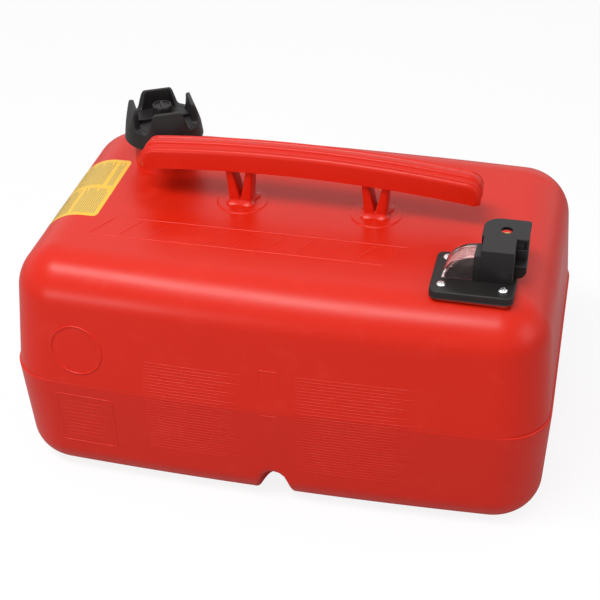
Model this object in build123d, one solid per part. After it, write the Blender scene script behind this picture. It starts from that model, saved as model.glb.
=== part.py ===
from build123d import *
from math import asin, atan2, cos, degrees, radians, sin, tan
import os

# Portable outboard fuel tank, millimetres, +Z up.
# Origin: centre of the tank's underside. +X along the length, +Y away from the gauge side.

# ---------------------------------------------------------------- driving sizes
# Tank shell
LENGTH = 478.0           # over the ends at the parting line
WIDTH = 312.0            # over the bowed long sides at the parting line
HEIGHT = 222.0           # up to the deck
PARTING_Z = 109.0        # height of the mould parting line
WALL = 4.0               # blown wall
SIDE_BOW = 7.4           # how far the long sides bulge at mid length
CORNER_R = 45.0          # upright corners
TOP_R = 43.0             # edge of the deck
BOTTOM_R = 33.0          # edge of the underside
END_TAPER_TOP = 8.0      # inward lean of each end, parting line to deck
SIDE_TAPER_TOP = 11.8
END_TAPER_BOTTOM = 4.3   # inward lean, parting line to underside
SIDE_TAPER_BOTTOM = 7.1
LEDGE = 1.6              # lower half stands proud of the upper one at the ends

# Strap channel across the underside
STRAP_X = 4.0
STRAP_W = 36.0
STRAP_DEPTH = 8.0
STRAP_MOUTH_RISE = 42.5  # crown of the mouth at the tank's full width
STRAP_MOUTH_RUN = 42.0
STRAP_MOUTH_R = 12.1
STRAP_MOUTH_FLARE = 18.0 # outward lean of the mouth's sides
STRAP_ROUND = 7.0

# Filler neck
NECK_FROM_END = 92.0     # neck's middle from the tank's left end
NECK_FROM_SIDE = 94.0    # and from its back side
NECK_BORE_R = 25.5
NECK_THREAD_R = 30.0
NECK_STEM_R = 28.7       # plain stem under the thread
NECK_STEM_RISE = 25.0    # thread's lower end above the deck
NECK_RISE = 35.0
NECK_ROOT_R = 1.8

# Filler cap
CAP_CLEAR = 0.35         # radial play on the neck
CAP_FOOT_GAP = 2.0       # skirt over the thread's lower end
CAP_R = 37.0
CAP_TOP_R = 33.2
CAP_H = 34.0
CAP_FLOOR_H = 15.5       # outer floor over the skirt's edge
CAP_FLOOR_T = 2.5
CROWN_BORE_R = 28.4
CROWN_LOBES = 4
CROWN_PHASE = 27.5       # bearing of the first lobe
CROWN_FLAT_R = 28.3      # each lobe's flat outer face from the axis, at its top
CROWN_FLAT_TILT = 19.0   # its lean, running out to the round skirt
CROWN_WALL = 3.5
SLOT_TOP_W = 21.0
SLOT_BOTTOM_W = 14.0
SLOT_R = 3.5
CAP_RIB_T = 2.6
GASKET_T = 2.5
GASKET_PLAY = 0.45

# Vent screw
VENT_BOSS_R = 6.2
VENT_BOSS_H = 6.5
VENT_STEM_R = 2.8
VENT_KNOB_R = 9.0
VENT_KNOB_H = 7.8
VENT_SKIRT_H = 4.0
VENT_SEAL_T = 1.2
VENT_TRAVEL = 1.5
VENT_CLIP_T = 1.0
VENT_CLIP_R = 5.2
VENT_RIB_T = 2.4
VENT_RIB_BEARING = 115.0
VENT_FLUTES = 8

# Carrying handle
HANDLE_X = 8.0
HANDLE_L = 307.0
HANDLE_W = 26.0
HANDLE_TOP = 57.1        # crest over the deck
HANDLE_H = 19.0          # depth of the bar
HANDLE_ARCH_R = 1300.0
HANDLE_ARCH_X = -18.0    # place of the crest along the bar
HANDLE_END_R = 13.0
HANDLE_WALL = 3.0
HANDLE_GROOVE = 2.8      # ridges over the rest of the bar
RIDGE_FRONT_W = 4.5
RIDGE_Y, RIDGE_W = -0.5, 8.0
RIDGE_R = 1.5
HANDLE_RIB_T = 2.4
HANDLE_RIB_PITCH = 24.0
HANDLE_RIB_RISE = 1.0    # ribs' lower edges over the bar's sill
POST_X = 6.0             # middle between the two posts
POST_SPACING = 123.0
LEG_SPREAD_FOOT = 5.0
LEG_SPREAD_TOP = 12.0
LEG_T_FOOT, LEG_T_TOP = 8.0, 5.6
LEG_W_FOOT = 19.0
PAD_R = 22.9
PAD_RISE = 1.2
FOOT_R = 20.0
FOOT_NECK_R = 9.0
FOOT_H = 11.0
STEM_R = 7.0
STEM_L = 12.0
POCKET_CLEAR = 0.05
POCKET_WALL = 5.0

# Sender unit: flange, outlet housing, latch plate
SENDER_FROM_END = 73.0   # unit's middle from the tank's right end
SENDER_FROM_SIDE = 65.0  # and from its front side
SENDER_HOLE_R = 24.5
SENDER_PAD_RISE = 1.0
SENDER_PAD_MARGIN = -0.4  # pad's edge past the flange
BASE_GASKET_T = 1.2
FLANGE_L, FLANGE_W, FLANGE_T = 69.0, 62.0, 6.0
FLANGE_R = 7.0
SCREW_DX, SCREW_DY = 50.0, 41.0
SCREW_R = 2.4
SCREW_HOLE_R = 2.8
SCREW_HEAD_R = 4.6
SCREW_HEAD_H = 3.0
SCREW_L = 15.0
INSERT_R = 4.4
INSERT_L = 10.0
INSERT_WALL = 3.0
FIT = 0.05               # running and push fits

HOUSING_DX = 4.5         # housing's left face from the sender's middle
HOUSING_L = 27.0
HOUSING_W = 25.0
HOUSING_Y = -10.0        # housing's front face from the sender's middle
HOUSING_H = 29.8         # over the flange
LATCH_T = 3.0
LATCH_L = 38.5
LATCH_REACH = 28.5
LATCH_HOLE_R = 5.0
LATCH_HOLE_BACK = 18.0   # hole's middle from the plate's far edge
LATCH_BIG_R = 14.0
LATCH_SMALL_R = 3.0
HOOD_WALL = 3.0
HOOD_H = 24.0
SHOULDER_H = 20.0        # small step beside the housing, over the flange
SHOULDER_D = 2.5         # and forward of the housing's back
BOSS_H = 10.5            # rounded boss under it
BOSS_D = 12.5
BOSS_R = 8.0

# Gauge
LENS_R = 26.0
LENS_W = 20.5
LENS_WALL = 2.0
LENS_SINK = 2.2          # arc centre under the flange's top
LENS_DY = 0.0
LENS_CHEEK_T = 5.0
LENS_CHEEK_RISE = 0.6    # cheek over the lens
PIVOT_DROP = 4.0         # pin's axis under the flange's underside
PIN_R = 2.0
EAR_T = 3.0
EAR_GAP = 12.0
EAR_R = 5.5
HUB_R = 4.5
HUB_PLAY = 0.3
POINTER_R = 22.0
POINTER_T = 2.4
POINTER_W = 11.0
POINTER_BEARING = 156.0
ARM_L = 240.0
ARM_WIRE_R = 1.3
FLOAT_R = 13.0
FLOAT_L = 36.0
FLOAT_LOW = 28.0         # float's axis over the floor line with the tank empty
FLOAT_CLIP_R = 4.0
FLOAT_CLIP_T = 1.0

# Pick-up and outlet
PICKUP_DX = 18.0
TUBE_R = 4.0
TUBE_WALL = 1.0
TUBE_INSERT = 10.0
TUBE_RING_R = 6.0
TUBE_RING_T = 2.0
STRAINER_R = 8.0
STRAINER_H = 16.0
STRAINER_FLOOR_GAP = 3.5
OUTLET_Z = 16.0          # nozzle axis over the flange
OUTLET_R = 4.75
OUTLET_L = 17.0
OUTLET_BORE_R = 2.2
OUTLET_COLLAR_R = 7.5
OUTLET_COLLAR_T = 3.0
OUTLET_SHANK_R = 5.0
OUTLET_SHANK_L = 9.0
OUTLET_RING_T = 2.0

# ---------------------------------------------------------------- derived sizes
DECK = HEIGHT
NECK_X = NECK_FROM_END - LENGTH / 2
NECK_Y = WIDTH / 2 - NECK_FROM_SIDE
THREAD_Z = DECK + NECK_STEM_RISE
NECK_TOP = DECK + NECK_RISE
CAP_BORE_R = NECK_THREAD_R + CAP_CLEAR
CAP_FOOT = THREAD_Z + CAP_FOOT_GAP
CAP_TOP = CAP_FOOT + CAP_H
CAP_FLOOR = CAP_FOOT + CAP_FLOOR_H
CAP_CEILING = CAP_FLOOR - CAP_FLOOR_T
GASKET_TOP = NECK_TOP + GASKET_T
VENT_BORE_R = VENT_STEM_R + 0.3
VENT_SEAT = CAP_FLOOR + VENT_BOSS_H
KNOB_FOOT = VENT_SEAT + VENT_SEAL_T
KNOB_TOP = KNOB_FOOT + VENT_KNOB_H
VENT_CLIP_TOP = CAP_CEILING - VENT_TRAVEL - 0.2
PAD_TOP = DECK + PAD_RISE
POSTS = (POST_X - POST_SPACING / 2, POST_X + POST_SPACING / 2)
SENDER_X = LENGTH / 2 - SENDER_FROM_END
SENDER_Y = SENDER_FROM_SIDE - WIDTH / 2
SENDER_SEAT = DECK + SENDER_PAD_RISE
FLANGE_FOOT = SENDER_SEAT + BASE_GASKET_T
FLANGE_TOP = FLANGE_FOOT + FLANGE_T
SCREWS = [(SENDER_X + sx * SCREW_DX / 2, SENDER_Y + sy * SCREW_DY / 2) for sx in (-1, 1) for sy in (-1, 1)]
HOUSING_X = SENDER_X + HOUSING_DX
HOUSING_FRONT = SENDER_Y + HOUSING_Y
HOUSING_BACK = HOUSING_FRONT + HOUSING_W
LATCH_TOP = FLANGE_TOP + HOUSING_H
LATCH_X = HOUSING_X - 2.0
LATCH_BACK = HOUSING_BACK + LATCH_REACH
HOOD_X = LATCH_X + LATCH_L / 2
PIVOT_Z = FLANGE_FOOT - PIVOT_DROP
GAUGE_Y = SENDER_Y + LENS_DY
PICKUP_X = SENDER_X + PICKUP_DX
OUTLET_AXIS_Z = FLANGE_TOP + OUTLET_Z
ARM_DROP = degrees(asin((PIVOT_Z - FLOAT_LOW) / ARM_L))
FLOAT_X = SENDER_X - ARM_L * cos(radians(ARM_DROP))


def save(name, shape):
    """Write one node as a STEP file."""
    shape.label = name
    export_step(shape, f"parts/{name}.step")


def disc(radius, z0, z1, x=0.0, y=0.0):
    """Upright cylinder between two heights."""
    return Pos(x, y, z0) * extrude(Circle(radius), z1 - z0)


def ring(outer, inner, z0, z1, x=0.0, y=0.0):
    """Upright tube between two heights."""
    return Pos(x, y, z0) * extrude(Circle(outer) - Circle(inner), z1 - z0)


def rod_y(radius, y0, y1, x, z):
    """Cylinder along Y."""
    return extrude(Plane((x, y0, z), x_dir=(1, 0, 0), z_dir=(0, 1, 0)) * Circle(radius), y1 - y0)


def block(x0, x1, y0, y1, z0, z1):
    """Box given by its faces."""
    return Pos(x0, y0, z0) * Box(x1 - x0, y1 - y0, z1 - z0, align=(Align.MIN,) * 3)


# ---------------------------------------------------------------- tank shell
def plan(z, half_l, half_w, corner):
    """Tank outline at one height: straight ends, bowed sides, round corners."""
    end_w = half_w - SIDE_BOW
    with BuildSketch(Plane.XY.offset(z)) as sketch:
        with BuildLine():
            ThreePointArc((-half_l, -end_w), (0, -half_w), (half_l, -end_w))
            Line((half_l, -end_w), (half_l, end_w))
            ThreePointArc((half_l, end_w), (0, half_w), (-half_l, end_w))
            Line((-half_l, end_w), (-half_l, -end_w))
        make_face()
        fillet(sketch.vertices(), corner)
    return sketch.sketch


def tank_form(inset, ledge):
    """Solid form of the tank, drawn in by an inset on every side."""
    half_l, half_w, corner = LENGTH / 2 - inset, WIDTH / 2 - inset, CORNER_R - inset
    waist = plan(PARTING_Z, half_l, half_w, corner)
    crown = plan(DECK - inset, half_l - END_TAPER_TOP, half_w - SIDE_TAPER_TOP, corner)
    upper = loft([waist, crown], ruled=True)
    upper = fillet(upper.faces().sort_by(Axis.Z)[-1].edges(), TOP_R - inset)
    waist = plan(PARTING_Z, half_l + ledge, half_w, corner)
    sole = plan(inset, half_l - END_TAPER_BOTTOM + ledge, half_w - SIDE_TAPER_BOTTOM, corner)
    lower = loft([sole, waist], ruled=True)
    lower = fillet(lower.faces().sort_by(Axis.Z)[0].edges(), BOTTOM_R - inset)
    return upper + lower


def strap_channel(grow):
    """Channel across the underside that climbs to an arched mouth in each long side."""
    half, depth, radius = STRAP_W / 2 + grow, STRAP_DEPTH + grow, STRAP_MOUTH_R + grow
    channel = block(STRAP_X - half, STRAP_X + half, -WIDTH / 2, WIDTH / 2, -depth, depth)
    channel = fillet(channel.edges().filter_by(Axis.Y).sort_by(Axis.Z)[-2:], min(STRAP_ROUND, depth - 0.6))
    slope, flare = atan2(STRAP_MOUTH_RISE - STRAP_DEPTH, STRAP_MOUTH_RUN), radians(STRAP_MOUTH_FLARE)
    crown = STRAP_MOUTH_RISE + grow / cos(slope)
    side_x, side_z = radius * cos(flare), crown - radius * (1 - sin(flare))
    foot_x = side_x + (side_z + crown) * tan(flare)
    with BuildSketch(Plane.XZ) as arch:
        with BuildLine():
            ThreePointArc((-side_x, side_z), (0, crown), (side_x, side_z))
            Polyline((side_x, side_z), (foot_x, -crown), (-foot_x, -crown), (-side_x, side_z))
        make_face()
    way = Vector(0, cos(slope), -sin(slope))
    mouth = Pos(0, -WIDTH / 2, 0) * extrude(arch.sketch, 1.2 * STRAP_MOUTH_RUN / cos(slope), dir=way, both=True)
    for turn in (0, 180):
        channel += Pos(STRAP_X, 0, 0) * Rot(0, 0, turn) * mouth
    return channel


def make_tank():
    outer = tank_form(0.0, LEDGE)
    cavity = tank_form(WALL, 0.0) - strap_channel(WALL)
    for x in POSTS:
        outer += disc(PAD_R, DECK - WALL, PAD_TOP, x)
        cavity -= disc(STEM_R + POCKET_WALL, PAD_TOP - STEM_L - POCKET_WALL, DECK, x)
    pad = Pos(SENDER_X, SENDER_Y, SENDER_SEAT) * RectangleRounded(
        FLANGE_L + 2 * SENDER_PAD_MARGIN, FLANGE_W + 2 * SENDER_PAD_MARGIN, FLANGE_R + SENDER_PAD_MARGIN)
    outer += extrude(pad, -16, taper=-6)
    for x, y in SCREWS:
        cavity -= disc(INSERT_R + INSERT_WALL, SENDER_SEAT - INSERT_L - INSERT_WALL - 3, DECK, x, y)
    outer += disc(NECK_STEM_R, DECK - WALL, THREAD_Z, NECK_X, NECK_Y)
    root = outer.edges().filter_by(GeomType.CIRCLE).filter_by(
        lambda e: abs(e.radius - NECK_STEM_R) < 0.01 and abs(e.center().Z - DECK) < 0.1)
    outer = fillet(root, NECK_ROOT_R)
    outer += disc(NECK_THREAD_R, THREAD_Z, NECK_TOP, NECK_X, NECK_Y)
    tank = outer - cavity - strap_channel(0.0)
    tank -= disc(NECK_BORE_R, DECK - 2 * WALL, NECK_TOP + 1, NECK_X, NECK_Y)
    tank -= disc(SENDER_HOLE_R, DECK - 3 * WALL, SENDER_SEAT + 1, SENDER_X, SENDER_Y)
    for x in POSTS:
        tank -= disc(STEM_R + POCKET_CLEAR, PAD_TOP - STEM_L - 0.3, PAD_TOP + 1, x)
    for x, y in SCREWS:
        tank -= disc(INSERT_R, SENDER_SEAT - INSERT_L, SENDER_SEAT + 1, x, y)
        tank -= disc(SCREW_HOLE_R, SENDER_SEAT - INSERT_L - 4, SENDER_SEAT, x, y)
    return tank


# ---------------------------------------------------------------- handle
def bar_crest(x):
    """Height of the bar's crest line at one place along it."""
    return DECK + HANDLE_TOP - HANDLE_ARCH_R + (HANDLE_ARCH_R ** 2 - (x - HANDLE_ARCH_X) ** 2) ** 0.5


def bar_side(inset=0.0):
    """Side view of the bar: gentle arch with rounded ends, drawn in at its crest and ends."""
    x0, x1 = HANDLE_X - HANDLE_L / 2 + inset, HANDLE_X + HANDLE_L / 2 - inset
    ends = [(x, bar_crest(x) - inset) for x in (x0, HANDLE_ARCH_X, x1)]
    sills = [(x, z - HANDLE_H) for x, z in ends]
    with BuildSketch(Plane.XZ) as side:
        with BuildLine():
            ThreePointArc(*ends)
            Line(ends[2], sills[2])
            ThreePointArc(*sills)
            Line(sills[0], ends[0])
        make_face()
        fillet(side.vertices().sort_by(Axis.Y)[:2], HANDLE_WALL)
        fillet(side.vertices().sort_by(Axis.Y)[-2:], max(HANDLE_END_R - inset, 1.0))
    return side.sketch


def band(side, y0, y1):
    """Side view drawn out between two places across the bar."""
    return Pos(0, y1, 0) * extrude(side, y1 - y0)


def make_handle():
    """Bar with two ridges along its top, hollow and ribbed underneath, on two posts."""
    side, half = bar_side(), HANDLE_W / 2
    low = side & bar_side(HANDLE_GROOVE)
    bar = band(side, -half, -half + RIDGE_FRONT_W) + band(side, RIDGE_Y, RIDGE_Y + RIDGE_W)
    crests = bar.edges().filter_by(lambda e: e.length > HANDLE_L / 2 and e.center().Z > DECK + HANDLE_TOP - HANDLE_H / 2)
    bar = fillet(crests, RIDGE_R)
    bar += band(low, -half + 0.5, half)
    bar -= band(bar_side(HANDLE_GROOVE + HANDLE_WALL), -half + HANDLE_WALL, half - HANDLE_WALL)
    core = bar_side(HANDLE_GROOVE + HANDLE_WALL / 2) & (Pos(0, 0, HANDLE_RIB_RISE) * side)
    end = HANDLE_GROOVE + HANDLE_WALL + HANDLE_RIB_T
    count = int((HANDLE_L / 2 - end) / HANDLE_RIB_PITCH)
    for i in range(-count, count + 1):
        x = HANDLE_X + i * HANDLE_RIB_PITCH
        rib = block(x - HANDLE_RIB_T / 2, x + HANDLE_RIB_T / 2, -half, half, DECK, DECK + HANDLE_TOP)
        bar += rib & band(core, -half + HANDLE_WALL / 2, half - HANDLE_WALL / 2)
    for x in POSTS:
        bar += make_post(x)
    return bar


def make_post(x):
    """Two leaning legs on one flared foot with its stem."""
    post = disc(STEM_R, PAD_TOP - STEM_L, PAD_TOP + 2, x)
    with BuildSketch(Plane.XZ) as flare:
        with BuildLine():
            Polyline((0, 0), (FOOT_R, 0), (FOOT_R, 1.0))
            RadiusArc((FOOT_R, 1.0), (FOOT_NECK_R, FOOT_H), FOOT_R - FOOT_NECK_R + 1.0)
            Polyline((FOOT_NECK_R, FOOT_H), (0, FOOT_H), (0, 0))
        make_face()
    post += Pos(x, 0, PAD_TOP) * revolve(flare.sketch, Axis.Z)
    for sign in (-1, 1):
        foot = Pos(x + sign * LEG_SPREAD_FOOT, 0, PAD_TOP + 2) * Rectangle(LEG_T_FOOT, LEG_W_FOOT)
        top = bar_crest(x + sign * LEG_SPREAD_TOP) - HANDLE_GROOVE - HANDLE_WALL / 2
        head = Pos(x + sign * LEG_SPREAD_TOP, 0, top) * Rectangle(LEG_T_TOP, HANDLE_W - 2 * HANDLE_WALL + 1)
        post += loft([foot, head], ruled=True)
    return post


# ---------------------------------------------------------------- filler cap
def make_cap():
    """Skirt and floor turned as one, with a crown of four flat-faced lobes around the vent screw."""
    with BuildSketch(Plane.XZ) as wall:
        with BuildLine():
            Polyline(
                (0, CAP_CEILING), (NECK_BORE_R - 1, CAP_CEILING), (NECK_BORE_R - 1, GASKET_TOP),
                (CAP_BORE_R, GASKET_TOP), (CAP_BORE_R, CAP_FOOT), (CAP_R, CAP_FOOT), (CAP_TOP_R, CAP_TOP),
                (0, CAP_TOP), close=True)
        make_face()
    cap = revolve(wall.sketch, Axis.Z)
    run = tan(radians(CROWN_FLAT_TILT))
    with BuildSketch(Plane.XZ) as flat:
        with BuildLine():
            Polyline(
                (CROWN_FLAT_R - run, CAP_TOP + 1), (CROWN_FLAT_R + run * CAP_H, CAP_FOOT),
                (CROWN_FLAT_R + CAP_R, CAP_FOOT), (CROWN_FLAT_R + CAP_R, CAP_TOP + 1), close=True)
        make_face()
    lobes = [CROWN_PHASE + i * 360 / CROWN_LOBES for i in range(CROWN_LOBES)]
    for bearing in lobes:
        cap -= Rot(0, 0, bearing) * extrude(flat.sketch, CAP_R, both=True)
    half = CROWN_FLAT_R - CROWN_WALL
    well = disc(CROWN_BORE_R, CAP_FLOOR, CAP_TOP + 1)
    cap -= well & Rot(0, 0, CROWN_PHASE) * block(-half, half, -half, half, CAP_FLOOR, CAP_TOP + 1)
    cap = fillet(cap.edges().filter_by(lambda e: e.center().Z > CAP_TOP - 0.1), CROWN_WALL / 3)
    boss = disc(VENT_BOSS_R, CAP_FLOOR - 1, VENT_SEAT)
    for bearing in lobes:
        boss += Rot(0, 0, bearing) * block(
            VENT_BOSS_R - 1, half + 1, -CAP_RIB_T / 2, CAP_RIB_T / 2, CAP_FLOOR - 1, KNOB_FOOT - VENT_SKIRT_H - 0.5)
    cap += boss
    slot_h = CAP_TOP - CAP_FLOOR + 2
    with BuildSketch(Plane.YZ) as slot:
        with BuildLine():
            Polyline(
                (-SLOT_BOTTOM_W / 2, 0), (SLOT_BOTTOM_W / 2, 0), (SLOT_TOP_W / 2, slot_h),
                (-SLOT_TOP_W / 2, slot_h), close=True)
        make_face()
        fillet(slot.vertices().sort_by(Axis.Y)[:2], SLOT_R)
    cutter = Pos(CROWN_BORE_R / 2, 0, CAP_FLOOR) * extrude(slot.sketch, CAP_R)
    for bearing in lobes:
        cap -= Rot(0, 0, bearing + 180 / CROWN_LOBES) * cutter
    cap -= disc(VENT_BORE_R, CAP_CEILING - 1, VENT_SEAT + 1)
    return Pos(NECK_X, NECK_Y, 0) * cap


def make_vent_screw():
    knob = disc(VENT_KNOB_R, KNOB_FOOT - VENT_SKIRT_H, KNOB_TOP)
    knob = chamfer(knob.edges().sort_by(Axis.Z)[-1], 0.8)
    knob -= disc(VENT_BOSS_R + 0.5, KNOB_FOOT - VENT_SKIRT_H, KNOB_FOOT)
    knob -= disc(VENT_KNOB_R - 1.8, KNOB_TOP - 1.4, KNOB_TOP)
    knob += block(-VENT_KNOB_R + 1.2, VENT_KNOB_R - 1.2, -VENT_RIB_T / 2, VENT_RIB_T / 2, KNOB_TOP - 1.5, KNOB_TOP)
    for i in range(VENT_FLUTES):
        knob -= Rot(0, 0, i * 360 / VENT_FLUTES) * disc(1.3, KNOB_FOOT - VENT_SKIRT_H, KNOB_TOP, VENT_KNOB_R + 0.5)
    stem = disc(VENT_STEM_R, VENT_CLIP_TOP - VENT_CLIP_T - 0.4, KNOB_FOOT + 1)
    stem -= ring(VENT_STEM_R + 1, VENT_STEM_R - 0.6, VENT_CLIP_TOP - VENT_CLIP_T, VENT_CLIP_TOP)
    return Pos(NECK_X, NECK_Y, 0) * (Rot(0, 0, VENT_RIB_BEARING) * (knob + stem))


# ---------------------------------------------------------------- sender unit
def make_sender_base():
    flange = Pos(SENDER_X, SENDER_Y, FLANGE_FOOT) * extrude(RectangleRounded(FLANGE_L, FLANGE_W, FLANGE_R), FLANGE_T)
    flange = fillet(flange.edges().group_by(Axis.Z)[-1], 1.2)
    front, back = HOUSING_FRONT, HOUSING_BACK
    x0, x1 = HOUSING_X, HOUSING_X + HOUSING_L
    housing = block(x0, x1, front, back, FLANGE_TOP - 1, LATCH_TOP)
    housing = fillet(housing.edges().filter_by(Axis.Z).sort_by(Axis.Y)[:2], 1.0)
    cheek = block(x0 - LENS_CHEEK_T, x0, GAUGE_Y - LENS_W / 2, GAUGE_Y + LENS_W / 2, FLANGE_TOP - 1,
                  FLANGE_TOP - LENS_SINK + LENS_R + LENS_CHEEK_RISE)
    # latch plate over the outlet, with a hood around it that is open to the back
    y0 = back - 1
    with BuildSketch(Plane.XY.offset(LATCH_TOP - HOOD_H)) as hood_plan:
        with BuildLine():
            Polyline((LATCH_X, y0), (LATCH_X + LATCH_L, y0), (LATCH_X + LATCH_L, LATCH_BACK),
                     (LATCH_X, LATCH_BACK), close=True)
        make_face()
        rear = hood_plan.vertices().sort_by(Axis.Y)[-2:].sort_by(Axis.X)
        fillet(rear[0], LATCH_BIG_R)
        rear = hood_plan.vertices().sort_by(Axis.Y)[-2:].sort_by(Axis.X)
        fillet(rear[-1], LATCH_SMALL_R)
    hood = extrude(hood_plan.sketch, HOOD_H)
    hood -= block(LATCH_X + HOOD_WALL, LATCH_X + LATCH_L - HOOD_WALL, back + HOOD_WALL, LATCH_BACK + 1,
                  LATCH_TOP - HOOD_H - 1, LATCH_TOP - LATCH_T)
    hood -= block(LATCH_X - 1, LATCH_X + LATCH_L + 1, LATCH_BACK - LATCH_BIG_R, LATCH_BACK + 1,
                  LATCH_TOP - HOOD_H - 1, LATCH_TOP - LATCH_T)
    # stepped shoulder beside the housing
    shoulder = block(x1 - 1, LATCH_X + LATCH_L - 0.6, back - SHOULDER_D, y0 + 1, FLANGE_TOP, FLANGE_TOP + SHOULDER_H)
    boss = block(x1 - 1, LATCH_X + LATCH_L + 0.4, back - BOSS_D, y0 + 2, FLANGE_TOP - 2, FLANGE_TOP + BOSS_H)
    boss = fillet(boss.edges().filter_by(Axis.Y).filter_by(lambda e: e.center().X > x1 + 2).sort_by(Axis.Z)[0], BOSS_R)
    base = flange + housing + cheek + hood + shoulder + boss
    # ears for the gauge pin
    for sign in (-1, 1):
        y = GAUGE_Y + sign * (EAR_GAP / 2 + EAR_T / 2)
        ear = rod_y(EAR_R, y - EAR_T / 2, y + EAR_T / 2, SENDER_X, PIVOT_Z)
        ear += block(SENDER_X - EAR_R, SENDER_X + EAR_R, y - EAR_T / 2, y + EAR_T / 2, PIVOT_Z, FLANGE_FOOT + 1)
        base += ear
    base -= rod_y(PIN_R + FIT, GAUGE_Y - EAR_GAP, GAUGE_Y + EAR_GAP, SENDER_X, PIVOT_Z)
    # window under the lens, screw holes, latch hole
    base -= block(SENDER_X - POINTER_R - 1.6, SENDER_X - 0.5 + HUB_R, GAUGE_Y - POINTER_W / 2 - 0.5,
                  GAUGE_Y + POINTER_W / 2 + 0.5, FLANGE_FOOT - 1, FLANGE_TOP - 1.5)
    base -= block(SENDER_X - POINTER_R - 1.6, SENDER_X - 0.8, GAUGE_Y - LENS_W / 2 + LENS_WALL,
                  GAUGE_Y + LENS_W / 2 - LENS_WALL, FLANGE_TOP - 2, FLANGE_TOP + 1)
    for x, y in SCREWS:
        base -= disc(SCREW_HOLE_R, FLANGE_FOOT - 1, FLANGE_TOP + 1, x, y)
        base -= disc(SCREW_HEAD_R + 0.6, FLANGE_TOP, FLANGE_TOP + 12, x, y)
    base -= disc(LATCH_HOLE_R, LATCH_TOP - LATCH_T - 1, LATCH_TOP + 1, HOOD_X, LATCH_BACK - LATCH_HOLE_BACK)
    # fuel way: tube socket, riser and cross bore
    base -= disc(TUBE_R + FIT, FLANGE_FOOT - 1, FLANGE_FOOT + TUBE_INSERT, PICKUP_X, SENDER_Y)
    base -= disc(TUBE_R - TUBE_WALL, FLANGE_FOOT, OUTLET_AXIS_Z + OUTLET_BORE_R, PICKUP_X, SENDER_Y)
    base -= rod_y(OUTLET_BORE_R, SENDER_Y, back + HOOD_WALL + 1, HOOD_X, OUTLET_AXIS_Z)
    base -= rod_y(OUTLET_SHANK_R + FIT, back + HOOD_WALL - OUTLET_SHANK_L, back + HOOD_WALL + 1, HOOD_X, OUTLET_AXIS_Z)
    return base


def make_lens():
    centre_z = FLANGE_TOP - LENS_SINK
    right = HOUSING_X - LENS_CHEEK_T

    def quarter(radius, y0, y1, floor):
        body = rod_y(radius, y0, y1, right, centre_z)
        return body & block(right - radius - 1, right, y0, y1, floor, centre_z + radius + 1)

    lens = quarter(LENS_R, GAUGE_Y - LENS_W / 2, GAUGE_Y + LENS_W / 2, FLANGE_TOP)
    return lens - quarter(LENS_R - LENS_WALL, GAUGE_Y - LENS_W / 2 + LENS_WALL,
                          GAUGE_Y + LENS_W / 2 - LENS_WALL, FLANGE_TOP - 1)


def make_pointer():
    """Red indicator: a hollow-backed sector on the hub."""
    half_w = POINTER_W / 2
    wheel = rod_y(POINTER_R, -half_w, half_w, 0, 0) - rod_y(POINTER_R - POINTER_T, -half_w - 1, half_w + 1, 0, 0)
    rim = wheel & block(0, POINTER_R + 1, -half_w, half_w, -6, 6)
    spoke = block(HUB_R + 0.1, POINTER_R - 1, -2, 2, -1.5, 1.5)
    return Pos(SENDER_X, GAUGE_Y, PIVOT_Z) * (Rot(0, -POINTER_BEARING, 0) * (rim + spoke))


def make_float_parts():
    """Hub, wire, float and clips, hanging with the tank empty."""
    turn = Pos(SENDER_X, GAUGE_Y, PIVOT_Z) * Rot(0, -(180 + ARM_DROP), 0)
    half = EAR_GAP / 2 - HUB_PLAY
    hub = rod_y(HUB_R, -half, half, 0, 0) - rod_y(PIN_R + FIT, -half - 1, half + 1, 0, 0)
    hub -= Pos(HUB_R, 0, 0) * Rot(0, 90, 0) * Cylinder(ARM_WIRE_R + FIT, 4.0)
    bend = 6.0
    span = FLOAT_L / 2 + FLOAT_CLIP_T + 2
    run = Line((HUB_R - 1.8, 0, 0), (ARM_L - bend, 0, 0))
    elbow = TangentArc((ARM_L - bend, 0, 0), (ARM_L, bend, 0), tangent=(1, 0, 0))
    tail = Line((ARM_L, bend, 0), (ARM_L, bend + FLOAT_L + 2 * FLOAT_CLIP_T + 4, 0))
    path = Wire([run.edge(), elbow.edge(), tail.edge()])
    start = Plane(origin=(HUB_R - 1.8, 0, 0), z_dir=(1, 0, 0))
    wire = sweep(start * Circle(ARM_WIRE_R), path)
    y0 = bend + FLOAT_CLIP_T + 1
    y1 = y0 + FLOAT_L
    foam = rod_y(FLOAT_R, y0, y1, ARM_L, 0)
    foam -= rod_y(ARM_WIRE_R + FIT, y0 - 1, y1 + 1, ARM_L, 0)
    clips = []
    for y in (y0 - FLOAT_CLIP_T, y1):
        clips.append(rod_y(FLOAT_CLIP_R, y, y + FLOAT_CLIP_T, ARM_L, 0)
                     - rod_y(ARM_WIRE_R + FIT, y - 1, y + FLOAT_CLIP_T + 1, ARM_L, 0))
    placed = [turn * shape for shape in (hub, wire, foam, *clips)]
    return placed[0], placed[1], placed[2], Compound(children=placed[3:])


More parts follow.
